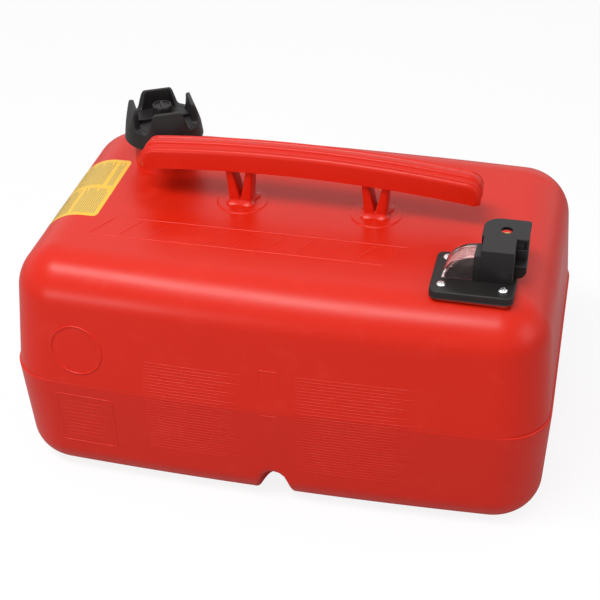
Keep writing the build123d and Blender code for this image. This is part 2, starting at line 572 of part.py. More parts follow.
def make_pivot_pin():
    y0 = GAUGE_Y - EAR_GAP / 2 - EAR_T - 1.5
    y1 = GAUGE_Y + EAR_GAP / 2 + EAR_T + 2.0
    pin = rod_y(PIN_R, y0, y1, SENDER_X, PIVOT_Z) + rod_y(PIN_R + 1.2, y0, y0 + 1.5, SENDER_X, PIVOT_Z)
    groove = rod_y(PIN_R + 1, y1 - 2, y1 - 1, SENDER_X, PIVOT_Z) - rod_y(PIN_R - 0.5, y1 - 2, y1 - 1, SENDER_X, PIVOT_Z)
    clip = rod_y(PIN_R + 2, y1 - 2, y1 - 1, SENDER_X, PIVOT_Z) - rod_y(PIN_R - 0.5, y1 - 3, y1, SENDER_X, PIVOT_Z)
    clip -= block(SENDER_X - 1.0, SENDER_X + 1.0, y1 - 3, y1, PIVOT_Z - 6, PIVOT_Z - PIN_R + 0.8)
    return pin - groove, clip


# ---------------------------------------------------------------- fuel path
def make_pickup():
    foot = WALL + STRAINER_FLOOR_GAP
    top = FLANGE_FOOT + TUBE_INSERT - 0.3
    tube = ring(TUBE_R, TUBE_R - TUBE_WALL, foot + 6, top, PICKUP_X, SENDER_Y)
    tube_ring = ring(TUBE_RING_R, TUBE_R + FIT, FLANGE_FOOT - TUBE_RING_T, FLANGE_FOOT, PICKUP_X, SENDER_Y)
    with BuildSketch(Plane.XZ) as cup:
        with BuildLine():
            Polyline(
                (TUBE_R + FIT, STRAINER_H), (TUBE_R + 1.6, STRAINER_H), (TUBE_R + 1.6, STRAINER_H - 5),
                (STRAINER_R, STRAINER_H - 7), (STRAINER_R, 0), (0, 0), (0, 1.2), (STRAINER_R - 1.2, 1.2),
                (STRAINER_R - 1.2, STRAINER_H - 7.5), (TUBE_R + FIT, STRAINER_H - 8.5), close=True)
        make_face()
    strainer = revolve(cup.sketch, Axis.Z)
    for i in range(8):
        strainer -= Rot(0, 0, i * 45) * block(0, STRAINER_R + 1, -1.0, 1.0, 2.4, STRAINER_H - 9)
    return tube, tube_ring, Pos(PICKUP_X, SENDER_Y, foot) * strainer


def make_outlet():
    seat = HOUSING_BACK + HOOD_WALL
    tip = seat + OUTLET_COLLAR_T + OUTLET_L
    groove = seat + OUTLET_COLLAR_T
    plug = rod_y(OUTLET_SHANK_R, seat - OUTLET_SHANK_L + 0.3, seat, HOOD_X, OUTLET_AXIS_Z)
    collar = Plane((HOOD_X, seat, OUTLET_AXIS_Z), x_dir=(1, 0, 0), z_dir=(0, 1, 0)) * RegularPolygon(OUTLET_COLLAR_R, 6)
    plug += extrude(collar, OUTLET_COLLAR_T)
    nozzle = rod_y(OUTLET_R, seat, tip, HOOD_X, OUTLET_AXIS_Z)
    plug += chamfer(nozzle.edges().filter_by(GeomType.CIRCLE).sort_by(Axis.Y)[-1], 1.0)
    plug -= rod_y(OUTLET_R + 1, groove, groove + OUTLET_RING_T, HOOD_X, OUTLET_AXIS_Z) - rod_y(
        OUTLET_R - 1.4, groove, groove + OUTLET_RING_T, HOOD_X, OUTLET_AXIS_Z)
    plug -= rod_y(OUTLET_BORE_R, seat - OUTLET_SHANK_L, tip + 1, HOOD_X, OUTLET_AXIS_Z)
    seal = rod_y(OUTLET_R + 0.3, groove, groove + OUTLET_RING_T, HOOD_X, OUTLET_AXIS_Z) - rod_y(
        OUTLET_R - 1.4, groove, groove + OUTLET_RING_T, HOOD_X, OUTLET_AXIS_Z)
    return plug, seal


def make_screw(x, y):
    head = disc(SCREW_HEAD_R, FLANGE_TOP, FLANGE_TOP + SCREW_HEAD_H, x, y)
    head = chamfer(head.edges().sort_by(Axis.Z)[-1], SCREW_HEAD_H * 0.4)
    return head + disc(SCREW_R, FLANGE_TOP - SCREW_L, FLANGE_TOP + 0.5, x, y)


def make_insert(x, y):
    return ring(INSERT_R, SCREW_R + FIT, SENDER_SEAT - INSERT_L, SENDER_SEAT, x, y)


# ---------------------------------------------------------------- build the nodes
if __name__ == "__main__":
    os.makedirs("parts", exist_ok=True)
    save("tank_body", make_tank())
    save("carry_handle", make_handle())
    save("fuel_cap", make_cap())
    save("cap_gasket", ring(CAP_BORE_R - GASKET_PLAY, NECK_BORE_R + 0.3, NECK_TOP, GASKET_TOP, NECK_X, NECK_Y))
    save("vent_screw", make_vent_screw())
    save("vent_seal", ring(VENT_BOSS_R - 0.6, VENT_BORE_R, VENT_SEAT, KNOB_FOOT, NECK_X, NECK_Y))
    save("vent_clip", ring(VENT_CLIP_R, VENT_STEM_R - 0.6, VENT_CLIP_TOP - VENT_CLIP_T, VENT_CLIP_TOP, NECK_X, NECK_Y))
    save("sender_base", make_sender_base())
    gasket = extrude(Pos(SENDER_X, SENDER_Y, SENDER_SEAT) * RectangleRounded(FLANGE_L, FLANGE_W, FLANGE_R), BASE_GASKET_T)
    gasket -= disc(SENDER_HOLE_R, DECK, FLANGE_TOP, SENDER_X, SENDER_Y)
    for hole in SCREWS:
        gasket -= disc(SCREW_HOLE_R, DECK, FLANGE_TOP, *hole)
    save("sender_gasket", gasket)
    save("sender_screws", Compound(children=[make_screw(*p) for p in SCREWS]))
    save("thread_inserts", Compound(children=[make_insert(*p) for p in SCREWS]))
    save("gauge_lens", make_lens())
    save("gauge_pointer", make_pointer())
    pin, clip = make_pivot_pin()
    save("pivot_pin", pin)
    save("pivot_clip", clip)
    hub, wire, foam, clips = make_float_parts()
    save("float_hub", hub)
    save("float_arm", wire)
    save("gauge_float", foam)
    save("float_clips", clips)
    tube, tube_ring, strainer = make_pickup()
    save("pickup_tube", tube)
    save("tube_ring", tube_ring)
    save("pickup_strainer", strainer)
    plug, seal = make_outlet()
    save("outlet_plug", plug)
    save("outlet_ring", seal)
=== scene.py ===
import logging
import math
from dataclasses import dataclass, field
from enum import Enum, IntEnum
from functools import reduce
from operator import add
from typing import Callable, Iterable, Sequence

import bmesh
import bpy
import numpy as np
from mathutils import Matrix


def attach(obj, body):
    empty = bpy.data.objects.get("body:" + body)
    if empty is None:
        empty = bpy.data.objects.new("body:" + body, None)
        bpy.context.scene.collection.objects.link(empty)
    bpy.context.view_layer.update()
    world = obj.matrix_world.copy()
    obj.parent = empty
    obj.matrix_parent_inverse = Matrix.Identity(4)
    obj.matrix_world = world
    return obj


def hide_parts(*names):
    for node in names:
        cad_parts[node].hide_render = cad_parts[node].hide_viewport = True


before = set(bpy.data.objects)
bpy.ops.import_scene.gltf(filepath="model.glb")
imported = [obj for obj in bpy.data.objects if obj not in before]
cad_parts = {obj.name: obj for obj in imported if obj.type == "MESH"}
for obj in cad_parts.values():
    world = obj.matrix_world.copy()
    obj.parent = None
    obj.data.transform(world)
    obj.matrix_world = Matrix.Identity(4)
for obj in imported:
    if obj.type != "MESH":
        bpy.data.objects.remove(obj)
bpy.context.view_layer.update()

MM = 0.001
QUARTER = math.pi / 2
WHITE = (1.0, 1.0, 1.0, 1.0)
WELD = 1.5e-6  # metres
SHORTEST = 1e-7  # metres
TINY = 1e-6  # keeps divisors away from nought
MITRE = 0.35  # least cosine at a corner, so that sharp corners are not drawn in too far
CUT_SHARP = 30.0  # degrees
PIN = 1e-4  # smallest radius of a turned ring, in millimetres
HOLD = 0.25  # flat strip beside a rounded edge, which keeps the face's shading flat
RIB_SECTION = ((-0.5, -0.4), (-0.42, 0.25), (-0.24, 0.85), (0, 1.0), (0.24, 0.85), (0.42, 0.25), (0.5, -0.4))
LOG = logging.getLogger("fuel_tank")

Pair = tuple[float, float]


class Body(Enum):
    """Moving groups of the tank."""

    TANK = "tank"
    CAP = "cap"
    VENT = "vent"


class Slot(Enum):
    """Material slots of the part's record."""

    RED = "red_tank"
    BLACK = "black_plastic"
    CLEAR = "clear_plastic"
    SCREW = "bright_screw"
    WHITE = "white_plastic"


class Along(Enum):
    """Direction in which a flat outline is drawn out, as the order of its axes."""

    Y = (0, 2, 1)
    Z = (0, 1, 2)


class Stretch(IntEnum):
    """Stretches of the shell's outline."""

    SIDE = 0
    CORNER = 1
    END = 2


# ------------------------------------------------------------------ shader expressions
class Signal:
    """A shader socket that takes part in Python expressions."""

    def __init__(self, graph: "Graph", socket: bpy.types.NodeSocket | None) -> None:
        """Wraps one output socket of a graph, or None for a node without outputs."""
        self.graph = graph
        self.socket = socket

    def __add__(self, other: "Signal | float") -> "Signal":
        """Sum."""
        return self.graph.math("ADD", self, other)

    def __sub__(self, other: "Signal | float") -> "Signal":
        """Difference."""
        return self.graph.math("SUBTRACT", self, other)

    def __rsub__(self, other: float) -> "Signal":
        """Difference from a number."""
        return self.graph.math("SUBTRACT", other, self)

    def __mul__(self, other: "Signal | float") -> "Signal":
        """Product."""
        return self.graph.math("MULTIPLY", self, other)

    __radd__, __rmul__ = __add__, __mul__

    def between(self, low: float, high: float) -> "Signal":
        """Smooth ramp from 0 at low to 1 at high."""
        return self.graph.node("ShaderNodeMapRange", {"interpolation_type": "SMOOTHSTEP"},
                               {"Value": self, "From Min": low, "From Max": high})


class Graph:
    """Node tree of a material or of the surroundings, written as expressions."""

    def __init__(self, owner: bpy.types.Material | bpy.types.World) -> None:
        """Empties the owner's tree.

        Args:
            owner: Material or surroundings.
        """
        self.owner = owner
        owner.use_nodes = True
        self.tree = owner.node_tree
        self.tree.nodes.clear()

    def node(self, kind: str, settings: dict, inputs: dict, output: int | str = 0) -> Signal:
        """Adds a node, sets it up and wires it.

        Args:
            kind: Node type.
            settings: Attributes, set first.
            inputs: Socket name or number to a value or a signal.
            output: Socket that is handed back.

        Returns:
            The chosen output.
        """
        made = self.tree.nodes.new(kind)
        for key, value in settings.items():
            setattr(made, key, value)
        for key, value in inputs.items():
            if isinstance(value, Signal):
                self.tree.links.new(value.socket, made.inputs[key])
            else:
                made.inputs[key].default_value = value
        return Signal(self, made.outputs[output] if made.outputs else None)

    def math(self, operation: str, *values: Signal | float) -> Signal:
        """Works out one operation over the values."""
        return self.node("ShaderNodeMath", {"operation": operation}, dict(enumerate(values)))

    def place(self) -> Signal:
        """Object coordinates in metres."""
        return self.node("ShaderNodeTexCoord", {}, {}, "Object")

    def ray(self, kind: str) -> Signal:
        """1 on rays of one kind."""
        return self.node("ShaderNodeLightPath", {}, {}, f"Is {kind} Ray")

    def noise(self, scale: float, detail: float = 3.0, roughness: float = 0.5) -> Signal:
        """Fractal noise from 0 to 1, with its cells per metre, octaves and weight of the fine octaves."""
        return self.node("ShaderNodeTexNoise", {}, {"Vector": self.place(), "Scale": scale,
                                                    "Detail": detail, "Roughness": roughness})

    def cells(self, scale: float) -> Signal:
        """Distance to the middle of the nearest cell."""
        return self.node("ShaderNodeTexVoronoi", {}, {"Vector": self.place(), "Scale": scale}, "Distance")

    def blend(self, factor: Signal, first: tuple | Signal, second: tuple | Signal) -> Signal:
        """Mixes two colours."""
        return self.node("ShaderNodeMix", {"data_type": "RGBA"}, {0: factor, 6: first, 7: second}, 2)

    def fade(self, factor: Signal | float, first: Signal, second: Signal) -> Signal:
        """Mixes two shaders."""
        return self.node("ShaderNodeMixShader", {}, {0: factor, 1: first, 2: second})

    def bump(self, height: Signal, distance: float, strength: float, under: Signal | None = None) -> Signal:
        """Normal from a height signal.

        Args:
            height: Height, 0 to 1.
            distance: Height of 1, in metres.
            strength: Share of the effect.
            under: Normal that the bump lies on.

        Returns:
            The bumped normal.
        """
        inputs = {"Height": height, "Distance": distance, "Strength": strength}
        if under is not None:
            inputs["Normal"] = under
        return self.node("ShaderNodeBump", {}, inputs, "Normal")

    def close(self, shader: Signal, kind: str = "ShaderNodeOutputMaterial") -> None:
        """Wires a shader to the tree's output."""
        self.node(kind, {}, {"Surface": shader})

    def surface(self, **sockets: Signal | float | tuple) -> bpy.types.Material:
        """Closes the tree with a Principled surface, whose sockets have underscores for spaces."""
        self.close(self.node("ShaderNodeBsdfPrincipled", {},
                             {k.replace("_", " "): v for k, v in sockets.items()}))
        return self.owner


# ------------------------------------------------------------------ finishes
@dataclass(frozen=True)
class Finish:
    """What every finish has: a name and a base colour."""

    name: str
    colour: tuple

    def graph(self) -> Graph:
        """Starts the finish's node tree."""
        return Graph(bpy.data.materials.new(self.name))


@dataclass(frozen=True)
class BlownPolyethylene(Finish):
    """Pigmented tank plastic: fine grain, slow waves from the blow mould, rubbed places and a few pits."""

    name: str = "blown_polyethylene_red"
    colour: tuple = (0.620, 0.014, 0.003, 1.0)
    rubbed: tuple = (0.720, 0.040, 0.022, 1.0)
    pit: tuple = (0.110, 0.010, 0.008, 1.0)
    pit_size: float = 0.020
    roughness: float = 0.33
    shine: float = 0.27
    grain: float = 0.00005
    wave: float = 0.0030

    def material(self) -> bpy.types.Material:
        """Builds the node tree.

        Returns:
            The finished material.
        """
        g = self.graph()
        cloud = g.noise(9.0, 4.0, 0.55)
        rub = g.noise(34.0, 5.0, 0.7).between(0.52, 0.74) * 0.30
        specks = 1 - g.cells(22.0).between(self.pit_size * 0.5, self.pit_size)
        pits = specks * g.noise(6.0, 2.0).between(0.50, 0.60)
        tone = g.blend(pits * 0.8, g.blend(rub, self.colour, self.rubbed), self.pit)
        waves = g.bump(g.noise(7.0, 1.5, 0.4), self.wave, 0.55)
        return g.surface(Base_Color=tone, Roughness=self.roughness + cloud * 0.10 - 0.05 + rub * 0.25,
                         Normal=g.bump(g.noise(1500.0, 2.0, 0.6), self.grain, 0.6, waves),
                         Specular_IOR_Level=self.shine)


@dataclass(frozen=True)
class MouldedPlastic(Finish):
    """Injection-moulded plastic with a fine spark-eroded grain, dust and streaks."""

    worn: tuple
    roughness: float = 0.45
    grain: float = 0.00008
    wear: float = 0.25
    shine: float = 0.5

    def material(self) -> bpy.types.Material:
        """Builds the node tree.

        Returns:
            The finished material.
        """
        g = self.graph()
        dust = g.noise(60.0, 5.0, 0.65).between(0.50, 0.78) * self.wear
        streak = g.noise(420.0, 3.0, 0.6).between(0.60, 0.75) * self.wear * 0.4
        return g.surface(Base_Color=g.blend(dust + streak, self.colour, self.worn),
                         Roughness=self.roughness + dust * 0.3 + streak * 0.2, Specular_IOR_Level=self.shine,
                         Normal=g.bump(g.noise(2200.0, 2.0, 0.7), self.grain, 0.7))


@dataclass(frozen=True)
class Metal(Finish):
    """Turned, drawn or plated metal with dull spots."""

    dull: tuple
    roughness: float

    def material(self) -> bpy.types.Material:
        """Builds the node tree.

        Returns:
            The finished material.
        """
        g = self.graph()
        haze = g.noise(900.0, 4.0, 0.7)
        spots = g.noise(140.0, 4.0, 0.6).between(0.52, 0.75)
        return g.surface(Base_Color=g.blend(spots * 0.6, self.colour, self.dull), Metallic=1.0,
                         Roughness=self.roughness + spots * 0.15 + haze * 0.06,
                         Normal=g.bump(haze, 0.00002, 0.5))


@dataclass(frozen=True)
class ClearPlastic(Finish):
    """Clear moulded window, slightly hazy."""

    name: str = "clear_lens"
    colour: tuple = (0.86, 0.70, 0.70, 1.0)
    index: float = 1.30

    def material(self) -> bpy.types.Material:
        """Builds the node tree.

        Returns:
            The finished material.
        """
        g = self.graph()
        haze = g.noise(500.0, 3.0, 0.6).between(0.45, 0.8)
        return g.surface(Base_Color=self.colour, Transmission_Weight=0.98, IOR=self.index,
                         Roughness=0.03 + haze * 0.05, Normal=g.bump(g.noise(60.0, 2.0), 0.0002, 0.3))


@dataclass(frozen=True)
class FrostedBandPaintedPink(Finish):
    """Milky strip under the window's top, which lets some of the inside show; its pink colours are painted,
    standing in for the red tank seen through and reflected in the clear window.
    """

    name: str = "frosted_band_painted_pink"
    # painted reflection: both pinks stand in for the red tank seen through the clear window, not a tint of
    # the band itself
    colour: tuple = (0.66, 0.34, 0.34, 1.0)
    cloudy_painted_pink: tuple = (0.78, 0.54, 0.54, 1.0)

    def material(self) -> bpy.types.Material:
        """Builds the node tree.

        Returns:
            The finished material.
        """
        g = self.graph()
        cloud = g.noise(120.0, 3.0, 0.6).between(0.35, 0.7)
        return g.surface(Base_Color=g.blend(cloud, self.colour, self.cloudy_painted_pink), Roughness=0.4,
                         Alpha=0.86 + cloud * 0.1)


@dataclass(frozen=True)
class ClosedFoam(Finish):
    """Closed-cell float foam."""

    name: str = "closed_foam"
    colour: tuple = (0.045, 0.042, 0.040, 1.0)
    cell: tuple = (0.012, 0.011, 0.011, 1.0)

    def material(self) -> bpy.types.Material:
        """Builds the node tree.

        Returns:
            The finished material.
        """
        g = self.graph()
        cells = g.cells(900.0)
        return g.surface(Base_Color=g.blend(cells, self.cell, self.colour), Roughness=0.8,
                         Normal=g.bump(cells, 0.0003, 0.7))


class Finishes:
    """All the finishes of the tank, made once."""

    def __init__(self) -> None:
        """Mixes every finish."""
        self.red = BlownPolyethylene().material()
        self.black = MouldedPlastic("black_nylon", (0.013, 0.011, 0.011, 1), (0.034, 0.031, 0.030, 1),
                                    0.42, shine=0.26).material()
        self.rubber = MouldedPlastic("seal_rubber", (0.016, 0.016, 0.016, 1), (0.040, 0.039, 0.038, 1),
                                     0.7).material()
        self.clear = ClearPlastic().material()
        self.pink_painted_frost = FrostedBandPaintedPink().material()
        self.signal = MouldedPlastic("signal_red", (0.60, 0.010, 0.010, 1), (0.70, 0.05, 0.04, 1),
                                     0.3, 0.00004, 0.1).material()
        self.screw = Metal("plated_screw", (0.82, 0.82, 0.83, 1), (0.60, 0.60, 0.60, 1), 0.18).material()
        self.wire = Metal("drawn_wire", (0.55, 0.55, 0.56, 1), (0.35, 0.34, 0.33, 1), 0.3).material()
        self.brass = Metal("turned_brass", (0.75, 0.52, 0.20, 1), (0.42, 0.27, 0.11, 1), 0.25).material()
        self.foam = ClosedFoam().material()
        self.white = MouldedPlastic("natural_nylon", (0.74, 0.72, 0.66, 1), (0.55, 0.52, 0.46, 1)).material()
        self.film = MouldedPlastic("yellow_film", (0.86, 0.50, 0.030, 1), (0.80, 0.56, 0.14, 1),
                                   0.38, 0.00003, 0.35).material()
        self.ruling = MouldedPlastic("ruling_ink", (0.30, 0.27, 0.12, 1), (0.45, 0.38, 0.10, 1),
                                     0.5, 0.00002, 0.5).material()


# ------------------------------------------------------------------ shapes
class Shape:
    """Vertices in millimetres and faces, before they become an object."""

    def __init__(self, verts: np.ndarray, faces: Sequence[Sequence[int]]) -> None:
        """Keeps the vertices as an array."""
        self.verts = np.asarray(verts, float).reshape(-1, 3)
        self.faces = [tuple(int(i) for i in f) for f in faces]

    def __add__(self, other: "Shape") -> "Shape":
        """Both shapes as one."""
        shift = len(self.verts)
        return Shape(np.vstack([self.verts, other.verts]),
                     self.faces + [[i + shift for i in f] for f in other.faces])

    def moved(self, x: float = 0.0, y: float = 0.0, z: float = 0.0) -> "Shape":
        """A copy pushed along the axes."""
        return Shape(self.verts + np.array([x, y, z]), self.faces)

    def turned(self, degrees: float, axis: str = "Z", about: tuple = (0.0, 0.0, 0.0)) -> "Shape":
        """A copy turned about an axis through a point."""
        turn = np.array(Matrix.Rotation(math.radians(degrees), 3, axis))
        return Shape((self.verts - np.array(about)) @ turn.T + np.array(about), self.faces)

    def part(self, name: str, material: bpy.types.Material, sharp: float = 38.0) -> bpy.types.Object:
        """Makes a Blender object of the shape.

        Args:
            name: Object name.
            material: Finish.
            sharp: Edges that bend more than this, in degrees, stay crisp.

        Returns:
            The linked object.
        """
        mesh = bpy.data.meshes.new(name)
        mesh.from_pydata((self.verts * MM).tolist(), [], self.faces)
        bm = bmesh.new()
        bm.from_mesh(mesh)
        bmesh.ops.remove_doubles(bm, verts=bm.verts, dist=WELD)
        bmesh.ops.dissolve_degenerate(bm, edges=bm.edges, dist=SHORTEST)
        bmesh.ops.recalc_face_normals(bm, faces=bm.faces)
        bm.to_mesh(mesh)
        bm.free()
        mesh.shade_smooth()
        mesh.set_sharp_from_angle(angle=math.radians(sharp))
        mesh.materials.append(material)
        return linked(name, mesh)


def linked(name: str, data: bpy.types.ID) -> bpy.types.Object:
    """Makes an object and links it to the scene.

    Args:
        name: Object name.
        data: Mesh, lamp or camera.

    Returns:
        The linked object.
    """
    made = bpy.data.objects.new(name, data)
    bpy.context.scene.collection.objects.link(made)
    return made


def joined(shapes: Iterable[Shape]) -> Shape:
    """All the shapes as one."""
    return reduce(add, shapes)


def unit(vectors: np.ndarray) -> np.ndarray:
    """The vectors at a length of one."""
    return vectors / np.linalg.norm(vectors, axis=-1, keepdims=True)


def raised(flat: np.ndarray, height: np.ndarray | float) -> np.ndarray:
    """Flat points at a height."""
    return np.column_stack([flat, np.full(len(flat), height)])


def around(count: int) -> np.ndarray:
    """Angles of a full turn."""
    return np.linspace(0, 2 * math.pi, count, endpoint=False)


def polar(radius: np.ndarray | float, angle: np.ndarray | float, height: np.ndarray | float,
          x: float = 0.0, y: float = 0.0) -> np.ndarray:
    """Points at a radius, an angle and a height about an upright axis."""
    return np.stack(np.broadcast_arrays(x + radius * np.cos(angle), y + radius * np.sin(angle), height), -1)


def quarter(radius: float, count: int, start: float = 0.0) -> list[Pair]:
    """Quarter round, as how far each point lies in from the wall and off the flat."""
    return [(radius * (1 - math.sin(a)), radius * (1 - math.cos(a)))
            for a in np.linspace(start, QUARTER, count)]


def smaller(first: np.ndarray | float, second: np.ndarray, soft: float) -> np.ndarray:
    """Smaller of two values, blended where they meet."""
    gap = second - first
    return first + 0.5 * (gap - np.sqrt(gap ** 2 + soft))


def blur(places: np.ndarray, spread: float, share: np.ndarray | float = 1.0) -> np.ndarray:
    """Weights of a Gaussian blur over uneven places, one row for each place."""
    weights = np.exp(-((places[:, None] - places) ** 2) / (2 * spread ** 2)) * share
    return weights / weights.sum(1, keepdims=True)


def box(x0: float, x1: float, y0: float, y1: float) -> list[Pair]:
    """Corners of a rectangle, counter-clockwise."""
    return [(x0, y0), (x1, y0), (x1, y1), (x0, y1)]


def skin(rings: Sequence[np.ndarray], closed: bool = True, caps: bool = True) -> Shape:
    """Joins rings of equal length with four-sided faces.

    Args:
        rings: Arrays of N points each.
        closed: Whether each ring closes on itself.
        caps: Whether the first and last rings are filled.

    Returns:
        The skin.
    """
    count, size = len(rings), len(rings[0])
    faces: list[Sequence[int]] = []
    for r in range(count - 1):
        for c in range(size if closed else size - 1):
            a, b = r * size + c, r * size + (c + 1) % size
            faces.append((a, b, b + size, a + size))
    if caps:
        faces += [range(size), range((count - 1) * size, count * size)]
    return Shape(np.vstack(rings), faces)


def lathe(profile: Sequence[Pair], steps: int = 96, x: float = 0.0, y: float = 0.0,
          shape: Callable[[np.ndarray, float, float], np.ndarray] | None = None) -> Shape:
    """Turns a profile of (radius, height) points about an upright axis.

    Args:
        profile: Points of the profile.
        steps: Divisions of the turn.
        x: Axis place.
        y: Axis place.
        shape: Optional change of the radius: takes angles, radius and height.

    Returns:
        The turned shape.
    """
    angle = around(steps)
    rings = []
    for radius, height in profile:
        r = max(radius, PIN) if shape is None else shape(angle, radius, height)
        rings.append(polar(r, angle, height, x, y))
    return skin(rings, True, False)


def shrink(loop: np.ndarray, amount: float) -> np.ndarray:
    """Draws a closed flat outline in by an amount.

    Args:
        loop: Counter-clockwise points.
        amount: Distance.

    Returns:
        The smaller outline.
    """
    ahead, behind = unit(np.roll(loop, -1, 0) - loop), unit(loop - np.roll(loop, 1, 0))
    n1, n2 = np.stack([-ahead[:, 1], ahead[:, 0]], 1), np.stack([-behind[:, 1], behind[:, 0]], 1)
    mid = unit(n1 + n2)
    reach = np.clip((mid * n1).sum(1), MITRE, 1.0)
    return loop + mid * (amount / reach)[:, None]


def plate(loop: np.ndarray, low: float, high: float, along: Along, edge_low: float = 0.5,
          edge_high: float = 0.5, steps: int = 3) -> Shape:
    """Flat outline drawn out into a plate with rounded edges.

    Args:
        loop: Counter-clockwise outline.
        low: Start along the direction.
        high: End along the direction.
        along: Direction.
        edge_low: Rounding at the start.
        edge_high: Rounding at the end.
        steps: Divisions of each rounding.

    Returns:
        The plate.
    """
    levels = [(edge_low + HOLD, low)]
    levels += [(inset, low + drop) for inset, drop in quarter(edge_low, steps + 1)]
    levels += [(inset, high - drop) for inset, drop in reversed(quarter(edge_high, steps + 1))]
    levels.append((edge_high + HOLD, high))
    return skin([raised(shrink(loop, inset), level)[:, list(along.value)] for inset, level in levels])


def rounded(points: Sequence[Pair], radii: Sequence[float] | float, steps: int = 6) -> np.ndarray:
    """Closed outline with rounded corners.

    Args:
        points: Corners, counter-clockwise.
        radii: Radius of each corner, or one for all.
        steps: Divisions of each corner.

    Returns:
        The outline's points.
    """
    corners = np.asarray(points, float)
    out: list[np.ndarray] = []
    for i, radius in enumerate(np.broadcast_to(radii, len(corners))):
        here = corners[i]
        u, v = unit(corners[i - 1] - here), unit(corners[(i + 1) % len(corners)] - here)
        half = math.acos(float(np.clip(u @ v, -1, 1))) / 2
        reach, sweep = radius / math.tan(half), math.pi - 2 * half
        centre = here + unit(u + v) * radius / math.sin(half)
        for t in np.linspace(0, 1, steps + 1):
            s0, s1 = math.sin((1 - t) * sweep) / math.sin(sweep), math.sin(t * sweep) / math.sin(sweep)
            out.append(centre + (here + u * reach - centre) * s0 + (here + v * reach - centre) * s1)
    return np.array(out)


def slab(x0: float, x1: float, y0: float, y1: float, z0: float, z1: float, corner: float = 1.0,
         edge: float = 0.5) -> Shape:
    """Box with rounded upright corners and rounded rims."""
    return plate(rounded(box(x0, x1, y0, y1), corner, 4), z0, z1, Along.Z, edge, edge)


def bead(path: np.ndarray, normals: np.ndarray, width: float, height: float, closed: bool = False) -> Shape:
    """Low raised rib that follows a line on a surface.

    Args:
        path: Points on the surface.
        normals: Surface normals there.
        width: Width of the rib's foot.
        height: Height of its crown.
        closed: Whether the line closes on itself.

    Returns:
        The rib.
    """
    ahead = unit(np.roll(path, -1, 0) - np.roll(path, 1, 0) if closed else np.gradient(path, axis=0))
    side = unit(np.cross(ahead, normals))
    rings = []
    for i, point in enumerate(path):
        fade = 1.0 if closed else min(1.0, 0.3 + min(i, len(path) - 1 - i))
        rings.append(np.array([point + side[i] * width * a + normals[i] * height * b * fade
                               for a, b in RIB_SECTION]))
    return skin(rings + rings[:1] if closed else rings, True, not closed)


def carve(target: bpy.types.Object, *tools: Shape, way: str = "DIFFERENCE") -> None:
    """Cuts shapes out of an object, or joins them to it.

    Args:
        target: Object that is changed.
        *tools: Shapes that are taken away or added.
        way: Boolean operation.
    """
    for tool in tools:
        cutter = tool.part("cutter", target.data.materials[0])
        change = target.modifiers.new("cut", "BOOLEAN")
        change.operation, change.solver, change.object = way, "EXACT", cutter
        graph = bpy.context.evaluated_depsgraph_get()
        cut = bpy.data.meshes.new_from_object(target.evaluated_get(graph))
        target.modifiers.clear()
        target.data = cut
        bpy.data.objects.remove(cutter, do_unlink=True)
    target.data.shade_smooth()
    target.data.set_sharp_from_angle(angle=math.radians(CUT_SHARP))


def settle(piece: bpy.types.Object, body: Body, slot: Slot, *nodes: str) -> None:
    """Puts a piece on its body.

    Args:
        piece: Finished object.
        body: Moving group that it rides on.
        slot: Material slot of the record; not used.
        *nodes: Solids that it stands for.
    """
    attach(piece, body.value)
    if nodes:
        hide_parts(*nodes)
    LOG.info("%s: %d faces on %s", piece.name, len(piece.data.polygons), body.value)


